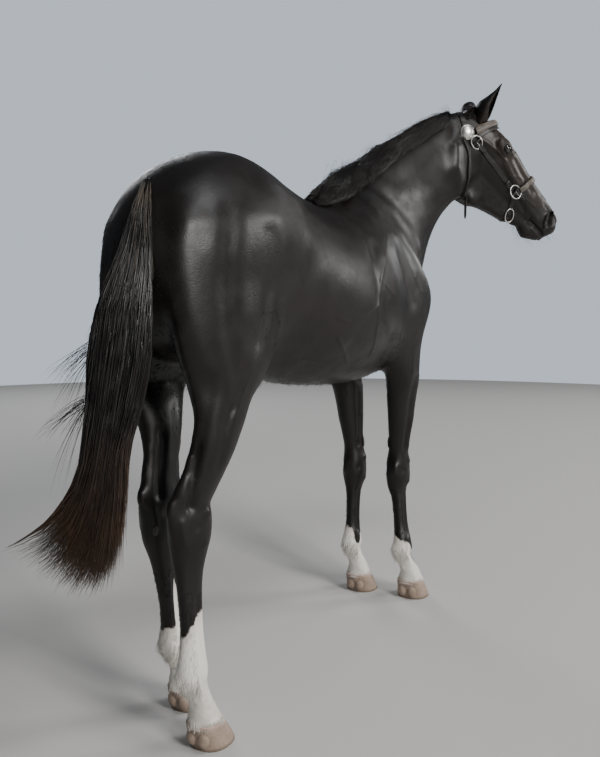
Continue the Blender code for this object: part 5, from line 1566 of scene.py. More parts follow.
def core_of_mane():
    """The closed inner mass of the mane, which keeps light from showing through."""
    rows = resample(MANE, np.linspace(0.02, 0.985, 60))
    bm = bmesh.new()
    rings = []
    for i, row in enumerate(rows):
        crest, edge, stand = Vector(row[0:3]), Vector(row[3:6]), row[6] * 0.50
        out, blown = Vector(MANE_OUT), Vector((0, 0, row[7] * 0.58))
        edge = crest.lerp(edge, 0.58 + 0.06 * math.sin(i * 0.9))
        ring = [crest + Vector((0, 0.010, -0.012)),
                crest + out * stand * 0.20 + Vector((0, 0.004, 0)) + blown]
        ring += [crest.lerp(edge, k / 5) + out * stand * math.sin(0.8 + 1.9 * k / 5)
                 + blown * (1 - k / 5) for k in range(1, 5)]
        ring += [edge + Vector((0, 0.012, -0.004)), crest.lerp(edge, 0.5) - out * 0.03]
        rings.append([bm.verts.new(p) for p in ring])
    cover(bm, rings)
    obj = new_object("mane_core", bm)
    attribute(obj, "along", np.full(len(obj.data.vertices), 0.1))
    attribute(obj, "shade", np.zeros(len(obj.data.vertices)))
    return obj


mane_core = core_of_mane()
mane_under = joined("mane_under", [make_mane(11, 2200, 0.0042, 0.84, 0.19),
                                   left_of_mane(14, 1100)])
mane_top = joined("mane_top", [make_mane(12, 3300, 0.0023, 1.0, 0.24), stray_mane(13, 60)])

# %% [markdown]
# The tail's bone, the dock, is only a third of its length, and it is thick with short
# wiry hair at its root. The long hair leaves it all the way down, hangs as one rope
# to the hock and then fans out to the left with the wind, ending in thin brown tips.
# %% The tail
TAIL = smooth_rows([(*row, 0, 0) for row in [
    # depth, then (across, height) of the left edge, the middle and the right edge; thickness
    (-0.640, -0.380, 1.476, -0.367, 1.486, -0.355, 1.476, 0.014),
    (-0.696, -0.396, 1.400, -0.372, 1.405, -0.349, 1.400, 0.022),
    (-0.738, -0.423, 1.287, -0.377, 1.287, -0.343, 1.287, 0.026),
    (-0.765, -0.463, 1.179, -0.398, 1.179, -0.341, 1.179, 0.028),
    (-0.775, -0.487, 1.059, -0.413, 1.059, -0.343, 1.059, 0.031),
    (-0.780, -0.494, 0.939, -0.434, 0.939, -0.364, 0.939, 0.033),
    (-0.782, -0.498, 0.866, -0.445, 0.866, -0.382, 0.878, 0.034),
    (-0.784, -0.506, 0.793, -0.453, 0.793, -0.399, 0.813, 0.034),
    (-0.784, -0.530, 0.727, -0.465, 0.694, -0.406, 0.719, 0.033),
    (-0.782, -0.574, 0.656, -0.483, 0.594, -0.413, 0.631, 0.030),
    (-0.778, -0.641, 0.593, -0.510, 0.504, -0.416, 0.568, 0.026),
    (-0.772, -0.713, 0.551, -0.548, 0.433, -0.408, 0.502, 0.022),
]], HAIR_ROWS)
ACROSS, THROUGH = np.array([0.528, -0.849, 0]), np.array([0.849, 0.528, 0])


def tail_place(s, u, v):
    """A point of the tail: down its length, from its left edge to its right, and through it."""
    row = resample(TAIL, s)
    depth, thick = row[..., 0], row[..., 7]
    left, middle, right = u * (u - 1) / 2, 1 - u * u, u * (u + 1) / 2
    wide = row[..., 1] * left + row[..., 3] * middle + row[..., 5] * right
    high = row[..., 2] * left + row[..., 4] * middle + row[..., 6] * right
    found = ACROSS * wide[..., None] + THROUGH * (depth + thick * v)[..., None]
    found[..., 2] = high
    return found


def make_tail(seed, count, size, shell, steps=12):
    rng = np.random.default_rng(seed)
    t = np.linspace(0, 1, steps)[None, :]
    bunches = 90
    angle = rng.uniform(0, 2 * math.pi, bunches)
    radius = np.sqrt(rng.uniform(shell ** 2, 1, bunches))
    cross = rng.uniform(0, 1, bunches) ** 3 * 0.9       # some bunches blow across the others
    mine = rng.integers(0, bunches, count)
    own = rng.normal(0, 1, (count, 4))
    turn = angle[mine] + own[:, 0] * 0.24
    out = np.clip(radius[mine] + own[:, 1] * 0.08, 0, 1.04)
    u, v = np.cos(turn) * out, np.sin(turn) * out
    root = 0.005 + 0.34 * rng.uniform(0, 1, count) ** 1.1
    ends = rng.beta(3.0, 1.4, bunches)[mine]
    end = 0.60 + 0.34 * ends + 0.06 * rng.beta(2, 2, count) - 0.05 * (own[:, 3] > 1.2)
    s = root[:, None] + (end - root)[:, None] * t
    wave = rng.uniform(0, 6.28, bunches)[mine][:, None]
    sway = (0.070 * rng.uniform(0.3, 1.6, bunches)[mine])[:, None]
    u_at = u[:, None] + sway * np.sin(11 * s + wave) + (own[:, 2:3] * 0.09) * t ** 2
    u_at = u_at - cross[mine][:, None] * np.clip((s - 0.45) / 0.5, 0, 1) ** 1.5
    u_at = np.clip(u_at, -1.06, 1.06)
    v_at = v[:, None] + sway * np.cos(9 * s + 2 * wave) + (own[:, 3:4] * 0.12) * t ** 2
    v_at = v_at + cross[mine][:, None] * 0.5 * np.where(v[:, None] < 0, -1, 1) * (s > 0.5)
    leaves = 0.35 + 0.65 * np.minimum(t / 0.09, 1)      # it springs from the dock itself
    paths = tail_place(s, u_at * leaves, v_at * leaves)
    outward = ACROSS * u[:, None, None] + THROUGH * v[:, None, None] + 1e-3
    outward = np.broadcast_to(outward, paths.shape)
    widths = taper(steps, count, rng.uniform(0.6, 1.3, count) * size, tip=0.05)
    uv = np.stack([0.03 + 0.45 * (turn % 6.283) / 6.283, 0.04 + 2.4 * root], axis=1)
    return paths, widths, outward, uv, rng.uniform(0, 1, count)


def flying_tail(seed, starts):
    """Thin wisps that the wind pulls out to the left, as (place down the tail, how many, reach,
    fall)."""
    rng = np.random.default_rng(seed)
    steps = 12
    t = np.linspace(0, 1, steps)[None, :]
    parts = []
    for where, count, reach, fall in starts:
        near = rng.normal(0, 0.008, count)
        s = (where + near)[:, None] + 0.0 * t
        base = tail_place(s, np.full(s.shape, -0.80), rng.normal(0, 0.3, (count, 1)) + 0 * s)
        far = reach * rng.uniform(0.55, 1.1, count)[:, None]
        drop = fall * rng.uniform(0.7, 1.3, count)[:, None]
        paths = base - ACROSS * (far * (t ** 0.9))[..., None]
        paths[..., 2] -= drop * t ** 1.6 + 0.03 * t
        paths += THROUGH * (rng.normal(0, 0.02, (count, 1)) * t)[..., None]
        paths[..., 2] += 0.004 * np.sin(6 * t + rng.uniform(0, 6, (count, 1))) * t
        outward = np.broadcast_to(THROUGH * -1.0, paths.shape)
        widths = taper(steps, count, rng.uniform(0.5, 1.0, count) * 0.0013, tip=0.05)
        uv = np.stack([rng.uniform(0.03, 0.45, count), np.full(count, 0.90)], axis=1)
        parts.append((paths, widths, outward, uv, rng.uniform(0.4, 1, count)))
    return tuple(np.concatenate(group) for group in zip(*parts))


def wiry_dock(seed, count):
    """The short, faded hairs at the root of the tail."""
    rng = np.random.default_rng(seed)
    steps = 12
    t = np.linspace(0, 1, steps)[None, :]
    turn = rng.uniform(0, 2 * math.pi, count)[:, None]
    start = rng.uniform(0.01, 0.20, count)[:, None]
    s = start + rng.uniform(0.03, 0.10, count)[:, None] * t
    flare = 0.75 + 0.40 * np.sin(t * 2.2) * rng.uniform(0.2, 1.0, count)[:, None]
    paths = tail_place(s, np.cos(turn) * flare, np.sin(turn) * flare)
    outward = ACROSS * np.cos(turn)[..., None] + THROUGH * np.sin(turn)[..., None] + 0 * paths
    widths = taper(steps, count, rng.uniform(0.5, 1.0, count) * 0.0012, tip=0.10)
    uv = np.stack([0.52 + 0.4 * turn[:, 0] / 6.283, 0.04 + start[:, 0]], axis=1)
    return paths, widths, outward, uv, np.full(count, 2.0) + rng.uniform(0, 0.5, count)


FLYING = [(0.262, 9, 0.020, 0.05), (0.30, 12, 0.045, 0.03), (0.355, 30, 0.125, 0.06),
          (0.375, 12, 0.110, 0.12), (0.43, 10, 0.045, 0.08), (0.455, 30, 0.130, 0.06),
          (0.470, 12, 0.095, 0.16), (0.60, 10, 0.05, 0.06), (0.70, 14, 0.075, 0.06)]
tail_under = joined("tail_under", [make_tail(21, 2300, 0.0056, 0.0)])
tail_top = joined("tail_top", [make_tail(22, 2350, 0.0024, 0.80), flying_tail(23, FLYING),
                               wiry_dock(24, 260)])

# %% [markdown]
# The forelock falls between the ears, goes under the browband and ends on the forehead
# to the left, where the wind has pushed it.
# %% The forelock
FORELOCK = smooth_rows([(*row, 0, 0, 0) for row in [
    # in the head's axes: along the face, across, off the middle plane, half-width, thickness
    (0.006, 0.000, 0.018, 0.014, 0.010),
    (0.030, 0.002, 0.036, 0.017, 0.010),
    (0.060, 0.008, 0.050, 0.021, 0.010),
    (0.105, 0.024, 0.060, 0.025, 0.008),
    (0.150, 0.038, 0.073, 0.024, 0.008),
    (0.200, 0.050, 0.072, 0.018, 0.006),
]], HAIR_ROWS)


POLL_HAIR = smooth_rows([(*row, 0, 0, 0) for row in [
    (0.046, 0.014, 0.020, 0.034, 0.018),
    (0.044, -0.004, 0.040, 0.036, 0.024),
    (0.036, -0.026, 0.041, 0.038, 0.026),
    (0.016, -0.044, 0.022, 0.037, 0.024),
    (-0.010, -0.058, -0.006, 0.028, 0.018),
]], HAIR_ROWS)


def make_forelock(seed, count, table=FORELOCK, spread=1):
    """Locks along a table of the head; `spread` is the axis, 0 or 1, they lie side by side in."""
    rng = np.random.default_rng(seed)
    steps = 10
    t = np.linspace(0, 1, steps)[None, :]
    u, v = rng.uniform(-1, 1, count)[:, None], rng.uniform(-1, 1.0, count)[:, None]
    end = rng.uniform(0.55, 1.0, count)[:, None]
    row = resample(table, end * t)
    wave = 0.25 * np.sin(6 * t + np.round(u * 4) * 1.3)
    local = row[..., 0:3].copy()
    local[..., spread] += row[..., 3] * (u + wave) * (1 - 0.2 * t)
    local[..., 2] += row[..., 4] * v * np.sqrt(np.clip(1 - u ** 2, 0.05, 1))
    turn = np.array(HEAD.to_3x3())
    paths = local @ turn.T + np.array(HEAD.translation)
    outward = np.broadcast_to(turn @ np.array([0.1, 0, 1.0]), paths.shape)
    widths = taper(steps, count, rng.uniform(0.6, 1.2, count) * 0.0022)
    uv = np.stack([0.6 + 0.1 * u[:, 0], 0.7 + 0.1 * v[:, 0]], axis=1)
    return paths, widths, outward, uv, rng.uniform(0, 1, count)


forelock = joined("forelock_locks", [make_forelock(31, 620), make_forelock(32, 760, POLL_HAIR, 0)])

# %% [markdown]
# Long black hair shines more than the coat, and its gloss runs along each lock. The
# tips of the tail have faded to brown, and the wiry hairs of the dock are paler still.
# %% The long hair's material
def make_hair(name, fade):
    """`fade` is how brown the tips become, from 0 to 1."""
    material, tree, shader = new_material(name, Specular_IOR_Level=0.60)
    place = object_place(tree)
    along = read(tree, "along")
    shade = read(tree, "shade")
    cloud = patches(tree, place, 0.06, 0.5)
    black = blend(tree, calc(tree, "MINIMUM", shade, 1.0), (0.0030, 0.0028, 0.0030),
                  (0.0110, 0.0085, 0.0075))
    tips = calc(tree, "MULTIPLY", calc(tree, "POWER", along, 4.5), fade)
    tips = calc(tree, "MULTIPLY", tips, calc(tree, "MULTIPLY_ADD", cloud, 0.6, 0.4), clamp=True)
    colour = blend(tree, tips, black, (0.110, 0.056, 0.027))
    colour = blend(tree, ramp(tree, shade, 1.5, 2.0), colour, (0.20, 0.165, 0.13))
    hair = streaks(tree, place, (700, 700, 90))
    normal = bump(tree, hair, 0.0005, 0.5)
    rough = ramp(tree, cloud, 0.0, 1.0, 0.28, 0.42)
    feed(tree, shader, Base_Color=colour, Normal=normal, Roughness=rough)
    return material


MANE_HAIR, TAIL_HAIR = make_hair("black mane hair", 0.12), make_hair("black tail hair", 1.0)
print("long hair has", len(TAIL_HAIR.node_tree.nodes), "nodes")

# %% [markdown]
# ## Hooves and chestnuts
# A hoof is a slanting wall of horn, like a thick fingernail bent round the foot. It grows
# from the coronet down, so faint rings run round it, and fine fibres run down it. The
# loft has the same outline as the frame's hoof with more rows, which carry the rings,
# and two bulbs of the heel behind.
# %% The hooves
HOOF_ROWS = [  # height, front and back from the toe's place, share of the half-width
    (0.000, 0.092, -0.036, 1.000), (0.012, 0.085, -0.038, 0.985),
    (0.030, 0.073, -0.043, 0.945), (0.050, 0.058, -0.049, 0.900),
    (0.066, 0.0465, -0.053, 0.865), (CORONET - 0.001, 0.0395, -0.056, 0.840),
]


HOOF_CORNERS = 44                         # round each ring of the wall


def make_hoof(leg):
    _, _, _, (tx, ty) = LEGS[leg]
    half_width = 0.059 if leg.startswith("fore") else 0.055
    rows = resample(HOOF_ROWS, np.linspace(0, 1, 26))
    bm = bmesh.new()
    rings = []
    for i, (z, front, back, share) in enumerate(rows):
        ripple = 0.0007 * math.sin(z * 900 + 0.6 * math.sin(z * 260)) * min(1, z / 0.01)
        if i >= 24:
            ripple -= 0.0015 * (i - 23)
        row = np.array([tx + front, ty, z, tx + back, ty, z, half_width * share,
                        half_width * share, 0.46, 2.0, 2.4])
        ring = [Vector(p) for p in section_points(row, np.array([0, 0, 1.0]), HOOF_CORNERS)]
        middle = Vector((tx, ty, z))
        rings.append([bm.verts.new(p + (p - middle).normalized() * ripple) for p in ring])
    cover(bm, rings, caps=False)
    bm.faces.new(rings[-1])
    bottom = bm.faces.new(rings[0][::-1])
    for rim in (0.009, 0.005):
        bmesh.ops.inset_region(bm, faces=[bottom], thickness=rim)
    for vertex in bottom.verts:
        vertex.co.z = 0.004           # a hollow sole, so that only the rim of the wall stands
    for side in (-1, 1):
        spin = Matrix.Translation((tx - 0.036, ty + side * 0.018, 0.036))
        bmesh.ops.create_icosphere(bm, subdivisions=3, radius=1,
                                   matrix=spin @ Matrix.Diagonal((0.015, 0.018, 0.026, 1)))
    obj = new_object("horn_" + leg, bm)
    apply(obj, "BEVEL", width=0.0008, segments=2, limit_method="ANGLE", angle_limit=0.9)
    return obj


def make_horn():
    material, tree, shader = new_material("hoof horn", Specular_IOR_Level=0.45)
    place = object_place(tree)
    height = add(tree, "SeparateXYZ", place).outputs["Z"]
    rings = add(tree, "TexNoise", add(tree, "CombineXYZ", 0.0, 0.0, height).outputs[0],
                Scale=170.0, Detail=3.0).outputs["Fac"]
    fibres = streaks(tree, place, (700, 700, 50))
    stain = patches(tree, place, 0.03, 0.6)
    colour = blend(tree, fibres, (0.30, 0.215, 0.165), (0.50, 0.39, 0.31))
    colour = blend(tree, calc(tree, "MULTIPLY", stain, 0.5), colour, (0.13, 0.095, 0.07))
    colour = blend(tree, ramp(tree, height, 0.0, 0.014, 0.75, 0.0), colour, (0.10, 0.075, 0.05))
    colour = blend(tree, ramp(tree, height, 0.060, 0.074, 0.0, 0.6), colour, (0.50, 0.36, 0.31))
    both = calc(tree, "MULTIPLY_ADD", rings, 0.7, fibres)
    rough = ramp(tree, stain, 0.0, 1.0, 0.42, 0.68)
    feed(tree, shader, Base_Color=colour, Roughness=rough, Normal=bump(tree, both, 0.0012, 0.6))
    return material


HORN = make_horn()
hooves = {leg: make_hoof(leg) for leg in LEGS}
print("hoof:", len(hooves["fore_right"].data.polygons), "faces")

# %% [markdown]
# The chestnut is a rough horny pad on the inside of each leg, above the knee in front
# and under the hock behind.
# %% The chestnuts
def make_chestnuts():
    bm = bmesh.new()
    rng = np.random.default_rng(61)
    for leg, (side, (jx, jy), _, _) in LEGS.items():
        fore = leg.startswith("fore")
        from_point = Vector((jx - 0.012 if fore else jx - 0.018, jy - side * 0.10,
                             0.615 if fore else 0.545))
        close, normal, _, _ = SKIN.find_nearest(from_point)
        up = Vector((0, 0, 1))
        across = up.cross(normal).normalized()
        turn = Matrix((across, normal.cross(across), normal)).transposed().to_4x4()
        size = (0.010, 0.022, 0.004) if fore else (0.008, 0.016, 0.003)
        made = bmesh.ops.create_icosphere(bm, subdivisions=4, radius=1,
                                          matrix=Matrix.Translation(close) @ turn
                                          @ Matrix.Diagonal((*size, 1)))
        for vertex in made["verts"]:
            vertex.co += normal * float(rng.normal(0, 0.0004))
    obj = new_object("chestnut_pads", bm)
    apply(obj, "SMOOTH", factor=0.5, iterations=1)
    return obj


def make_chestnut_horn():
    material, tree, shader = new_material("chestnut horn", Roughness=0.6)
    place = object_place(tree)
    rough = add(tree, "TexNoise", place, Scale=420.0, Detail=4.0).outputs["Fac"]
    feed(tree, shader, Base_Color=blend(tree, rough, (0.018, 0.014, 0.012), (0.075, 0.060, 0.050)),
         Normal=bump(tree, rough, 0.002, 0.9))
    return material


CHESTNUT = make_chestnut_horn()
chestnuts = make_chestnuts()
print("chestnuts:", len(chestnuts.data.polygons), "faces")

# %% [markdown]
# ## The bridle
# The horse wears a plain show bridle: black straps about 19 mm wide, stitched along both
# edges, with oval buckles, a domed rosette under each ear and a padded brown browband.
# A strap is drawn as a path over the head and its section is laid on the skin point by
# point, so that it bends over the bones as soft leather does. Its edges are rounded and
# its middle is a little crowned.
# %% Straps
STRAP_WIDTH, STRAP, STAND = 0.019, 0.0036, 0.0012     # width, thickness, gap to the coat
SECTION = [(-1.0, 0.15), (-1.0, 0.72), (-0.93, 0.96), (-0.80, 1.0), (-0.35, 1.10), (0.35, 1.10),
           (0.80, 1.0), (0.93, 0.96), (1.0, 0.72), (1.0, 0.15), (0.88, 0.0), (-0.88, 0.0)]


def strap_path(points, steps):
    rows = smooth_rows([(*p[:3], 0, 0, 0, p[3] if len(p) > 3 else 1.0) for p in points], steps)
    path = []
    for row in rows:
        loose = HEAD @ Vector(row[0:3])
        close, normal, _, _ = SKIN.find_nearest(loose)
        outward = (loose - HEAD @ Vector((row[0], 0, -0.05))).normalized()
        on = min(1.0, max(0.0, row[6]))
        path.append([loose.lerp(close, on), outward.lerp(normal, on).normalized(), on])
    for _ in range(4):
        normals = [n for _, n, _ in path]
        places = [p for p, _, _ in path]
        last = len(path) - 1
        for i, spot in enumerate(path):
            spot[1] = (normals[max(i - 1, 0)] + normals[i] * 2
                       + normals[min(i + 1, last)]).normalized()
            if 0 < i < last:
                spot[0] = (places[i - 1] + places[i] * 2 + places[i + 1]) / 4
    return path


STITCH_GAP, STITCH, THREAD = 0.0050, 0.0016, 0.0005     # apart, half a stitch, radius


def stitch_row(bm, marks, spots, tangent_of, offset):
    """Threads along a strap's edge: long six-cornered beads, 5 mm apart."""
    travelled = 0.0
    for i in range(1, len(spots)):
        here, normal, side = spots[i]
        travelled += (here - spots[i - 1][0]).length
        if travelled < STITCH_GAP:
            continue
        travelled = 0.0
        along = tangent_of(i)
        middle = here + side * offset
        ends = [middle + along * STITCH, middle + side * THREAD, middle + normal * THREAD,
                middle - side * THREAD, middle - normal * THREAD, middle - along * STITCH]
        corners = [bm.verts.new(p) for p in ends]
        for corner in corners:
            corner[marks] = 1.0
        for k in range(4):
            n = (k + 1) % 4
            bm.faces.new((corners[0], corners[1 + k], corners[1 + n]))
            bm.faces.new((corners[5], corners[1 + n], corners[1 + k]))


def strap(name, points, width=STRAP_WIDTH, thickness=STRAP, lift=0.0, steps=8,
          pointed=False, crown=1.0):
    path = strap_path(points, steps)
    bm = bmesh.new()
    marks = bm.verts.layers.float.new("stitch")
    edges = bm.verts.layers.float.new("edge")
    rings, spots = [], []
    last = len(path) - 1

    def tangent_of(i):
        return (path[min(i + 1, last)][0] - path[max(i - 1, 0)][0]).normalized()

    for i, (place, normal, on) in enumerate(path):
        side = normal.cross(tangent_of(i)).normalized()
        narrow = (0.25, 0.70, 0.93, 1.0)[min(last - i, 3)] if pointed else 1.0
        half = width / 2 * narrow
        ring = []
        for across, up in SECTION:
            spot = place + side * half * across
            close, _, _, _ = SKIN.find_nearest(spot)
            sunk = (spot - close).dot(normal)
            base = spot - normal * sunk * on * 0.8
            high = up if up < 1.05 else 1 + (up - 1) * crown
            ring.append(base + normal * (STAND + lift + thickness * high))
        middle = (ring[4] + ring[5]) / 2
        corners = [bm.verts.new(p) for p in ring]
        for corner, (across, up) in zip(corners, SECTION):
            corner[edges] = abs(across) ** 6
        rings.append(corners)
        spots.append((middle, normal, side))
    cover(bm, rings)
    bmesh.ops.recalc_face_normals(bm, faces=bm.faces)
    for sign in (-1, 1):
        stitch_row(bm, marks, spots, tangent_of, sign * (width / 2 - 0.0024))
    return new_object(name, bm, recalc=False)


def merged(name, parts, place):
    """Joins finished primitives and carries them to their place."""
    bpy.ops.object.select_all(action="DESELECT")
    for part in parts:
        part.select_set(True)
    bpy.context.view_layer.objects.active = parts[0]
    bpy.ops.object.transform_apply(location=True, rotation=True, scale=True)
    if len(parts) > 1:
        bpy.ops.object.join()
    obj = bpy.context.object
    obj.name = name
    obj.data.transform(place)
    return obj


def sided(points, side):
    return [(x, side * y, *rest) for x, y, *rest in points]


def whole_band(half, down_face=0.0):
    """A band over the face: the left half, drawn from its end to the middle, and its mirror."""
    return ([(x + down_face, -y, z, *on) for x, y, z, *on in half]
            + [(x + down_face, y, z, *on) for x, y, z, *on in half[-2::-1]])


CHEEK = [(0.052, 0.073, -0.045), (0.105, 0.078, -0.047), (0.154, 0.080, -0.047),
         (0.205, 0.080, -0.050), (0.252, 0.074, -0.051), (0.310, 0.063, -0.052),
         (0.364, 0.054, -0.052)]
JAW = [(0.372, 0.053, -0.054), (0.398, 0.044, -0.082), (0.416, 0.036, -0.104),
       (0.429, 0.031, -0.122)]
straps = {}
for side, hand in ((-1, "right"), (1, "left")):
    straps["cheek_strap_" + hand] = strap("cheek_leather_" + hand, sided(CHEEK, side))
    straps["jaw_strap_" + hand] = strap("jaw_leather_" + hand, sided(JAW, side),
                                        width=STRAP_WIDTH * 0.9)
HALF = {
    "crownpiece": ([(0.040, 0.073, -0.045), (0.014, 0.065, -0.027), (-0.006, 0.052, -0.010),
                    (-0.020, 0.026, 0.012), (-0.024, 0.0, 0.020)], 0.024),
    "noseband": ([(0.374, 0.054, -0.046), (0.384, 0.056, -0.030), (0.389, 0.056, -0.010),
                  (0.395, 0.050, 0.030), (0.397, 0.026, 0.050), (0.398, 0.0, 0.053)], 0.026),
    "chin_strap": ([(0.432, 0.030, -0.128), (0.441, 0.020, -0.150), (0.444, 0.0, -0.158)], 0.018),
    "throatlatch": ([(0.046, 0.074, -0.058), (0.060, 0.081, -0.080), (0.100, 0.090, -0.095),
                     (0.156, 0.095, -0.147), (0.201, 0.076, -0.185), (0.232, 0.052, -0.212),
                     (0.246, 0.026, -0.226), (0.250, 0.0, -0.230)], 0.014),
}
for name, (half, width) in HALF.items():
    straps[name] = strap(name + "_leather", whole_band(half), width=width, lift=0.0004)
down = (HEAD.to_3x3().inverted() @ Vector((0, 0, -1))).normalized()
loose_end = Vector((0.236, -0.060, -0.212))
straps["throatlatch_end"] = strap("throatlatch_tip", [
    (*(loose_end + down * reach), 0) for reach in (0.0, 0.028, 0.056, 0.086)],
    width=0.014, pointed=True, steps=5)
print(len(straps), "straps")

# %% [markdown]
# The browband and the noseband are padded rolls: a thick crowned pad of brown leather
# sewn to a flat black backing, whose edge shows below it. The browband stands off the
# forehead between the ears. A short brown loop ties each of its ends to the crownpiece.
# %% The padded bands
BROW = [(0.078, 0.077, -0.020, 1.0), (0.085, 0.078, -0.002, 0.9), (0.091, 0.072, 0.022, 0.35),
        (0.102, 0.064, 0.046, 0.0), (0.117, 0.039, 0.067, 0.0), (0.125, 0.0, 0.077, 0.0)]
brow_pad = strap("browband_pad", whole_band(BROW, -0.004), width=0.027, thickness=0.0080,
                 lift=0.0022, steps=9, crown=3.2)
brow_back = strap("browband_back", whole_band(BROW, 0.009), width=0.030, thickness=0.0028,
                  lift=0.0006, steps=9)
NOSE = HALF["noseband"][0]
nose_pad = strap("noseband_pad", whole_band(NOSE[1:], -0.003), width=0.022, thickness=0.0050,
                 lift=0.0030, steps=8, crown=2.6)
loops = merged("browband_loops", [
    strap("loop", sided([(0.070, 0.0765, -0.014, 1.0), (0.072, 0.073, 0.004, 0.9),
                         (0.080, 0.068, 0.024, 0.4)], side), width=0.020, thickness=0.0050,
          lift=0.0030, steps=6, pointed=True) for side in (-1, 1)], Matrix.Identity(4))
print("browband:", len(brow_pad.data.polygons), "faces")

# %% [markdown]
# ## Buckles, rings and rosettes
# A bridle buckle is a round wire bent to an oval, with a bar across its middle and a
# tongue that swings on the bar. Each is made lying flat at the origin, from a torus and
# two rods, then carried to its place by a matrix. The rosette is a spun dome with a
# rope-like rim.
# %% The metal
def lay_on_face(point, toward, lift):
    """A matrix on the head: Z stands off the skin and X leads towards `toward`."""
    close, normal, _, _ = SKIN.find_nearest(HEAD @ Vector(point))
    x = HEAD @ Vector(toward) - close
    x = (x - normal * x.dot(normal)).normalized()
    turn = Matrix((x, normal.cross(x), normal)).transposed().to_4x4()
    return Matrix.Translation(close + normal * lift) @ turn


def rod(start, end, radius, squash=1.0):
    bpy.ops.object.select_all(action="DESELECT")
    start, end = Vector(start), Vector(end)
    bpy.ops.mesh.primitive_cylinder_add(vertices=14, radius=radius, depth=(end - start).length,
                                        location=(start + end) / 2)
    obj = bpy.context.object
    obj.rotation_euler = (end - start).to_track_quat("Z", "Y").to_euler()
    obj.scale = (1, squash, 1)
    apply(obj, "BEVEL", width=radius * 0.4, segments=2, limit_method="ANGLE")
    return obj


def oval(long_radius, short_radius, wire):
    bpy.ops.object.select_all(action="DESELECT")
    bpy.ops.mesh.primitive_torus_add(major_segments=56, minor_segments=14, major_radius=1.0,
                                     minor_radius=wire)
    obj = bpy.context.object
    points = points_of(obj)
    reach = np.hypot(points[:, 0], points[:, 1])
    flat = points[:, :2] / reach[:, None]
    grown = flat * np.array([long_radius, short_radius]) + flat * (reach[:, None] - 1)
    put_points(obj, np.column_stack([grown, points[:, 2]]))
    return obj


def make_buckle(name, long_radius, short_radius, wire, place):
    wraps.append(merged("wrap", [rod((0, -short_radius * 0.80, -wire * 0.3),
                                     (0, short_radius * 0.80, -wire * 0.3), wire * 1.6)], place))
    parts = [oval(long_radius, short_radius, wire),
             rod((0, -short_radius, -wire * 0.3), (0, short_radius, -wire * 0.3), wire * 0.7),
             rod((0, 0, wire * 1.1), (long_radius * 1.02, 0, wire * 1.2), wire * 0.34, 0.7)]
    return merged(name, parts, place)


def make_rosette(name, place):
    profile = [(0.0280, 0.0), (0.0298, 0.0010), (0.0300, 0.0024), (0.0290, 0.0036),
               (0.0278, 0.0042), (0.0268, 0.0044), (0.0256, 0.0054), (0.0228, 0.0080),
               (0.0190, 0.0104), (0.0140, 0.0125), (0.0080, 0.0139), (0.0, 0.0144)]
    around = 72
    bm = bmesh.new()
    rings = []
    for k, (radius, height) in enumerate(profile[:-1]):
        rope = 0.0005 if 1 <= k <= 3 else 0.0
        rings.append([bm.verts.new(((radius + rope * math.cos(j * math.pi)) * math.cos(a),
                                    (radius + rope * math.cos(j * math.pi)) * math.sin(a), height))
                      for j in range(around) for a in [2 * math.pi * j / around]])
    cover(bm, rings, caps=False)
    top = bm.verts.new((0, 0, profile[-1][1]))
    for j in range(around):
        bm.faces.new((rings[-1][j], rings[-1][(j + 1) % around], top))
    bm.faces.new(rings[0][::-1])
    obj = new_object(name, bm)
    obj.data.transform(place)
    return obj


metal, wraps = {}, []
for side, hand in ((-1, "right"), (1, "left")):
    metal["rosette_" + hand] = make_rosette("rosette_dome_" + hand, lay_on_face(
        (0.051, side * 0.0735, -0.048), (0.2, side * 0.08, -0.047), STAND + 0.0052))
    metal["upper_buckle_" + hand] = make_buckle("upper_oval_" + hand, 0.0292, 0.0222, 0.0026,
        lay_on_face((0.103, side * 0.078, -0.047), (0.2, side * 0.08, -0.049), STAND + 0.0108))
    metal["lower_buckle_" + hand] = make_buckle("lower_oval_" + hand, 0.0290, 0.0245, 0.0026,
        lay_on_face((0.371, side * 0.054, -0.050), (0.5, side * 0.045, -0.050), STAND + 0.0115))
    hang = Vector((0.429, side * 0.030, -0.124))
    metal["ring_" + hand] = merged("jaw_ring_" + hand, [oval(0.0280, 0.0195, 0.0024)],
        lay_on_face(hang, hang + down * 0.05, STAND + 0.0066))
print(len(metal), "metal pieces")

# %% [markdown]
# Where a strap's spare end passes its buckle, it is held by keepers, narrow leather
# loops, and ends in a point with a row of punched holes.
# %% Keepers and spare ends
def keeper(points, along, width):
    """A short leather loop across a strap: a narrow strap laid over it from edge to edge."""
    (place, normal, _), (after, _, _) = strap_path(points, 8)[along:along + 2]
    tangent = (after - place).normalized()
    side = normal.cross(tangent).normalized()
    bm = bmesh.new()
    rings = []
    outline = [(-1.12, 0.0), (-1.14, 1.6), (-0.98, 2.25), (0.98, 2.25), (1.14, 1.6), (1.12, 0.0),
               (0.98, 0.35), (-0.98, 0.35)]
    for step in (-0.0042, -0.0036, 0.0036, 0.0042):
        inset = 0.97 if abs(step) > 0.004 else 1.0
        rings.append([bm.verts.new(place + tangent * step + side * (a * width / 2 * inset)
                                   + normal * (STAND + STRAP * u * inset)) for a, u in outline])
    cover(bm, rings)
    return new_object("keeper", bm)


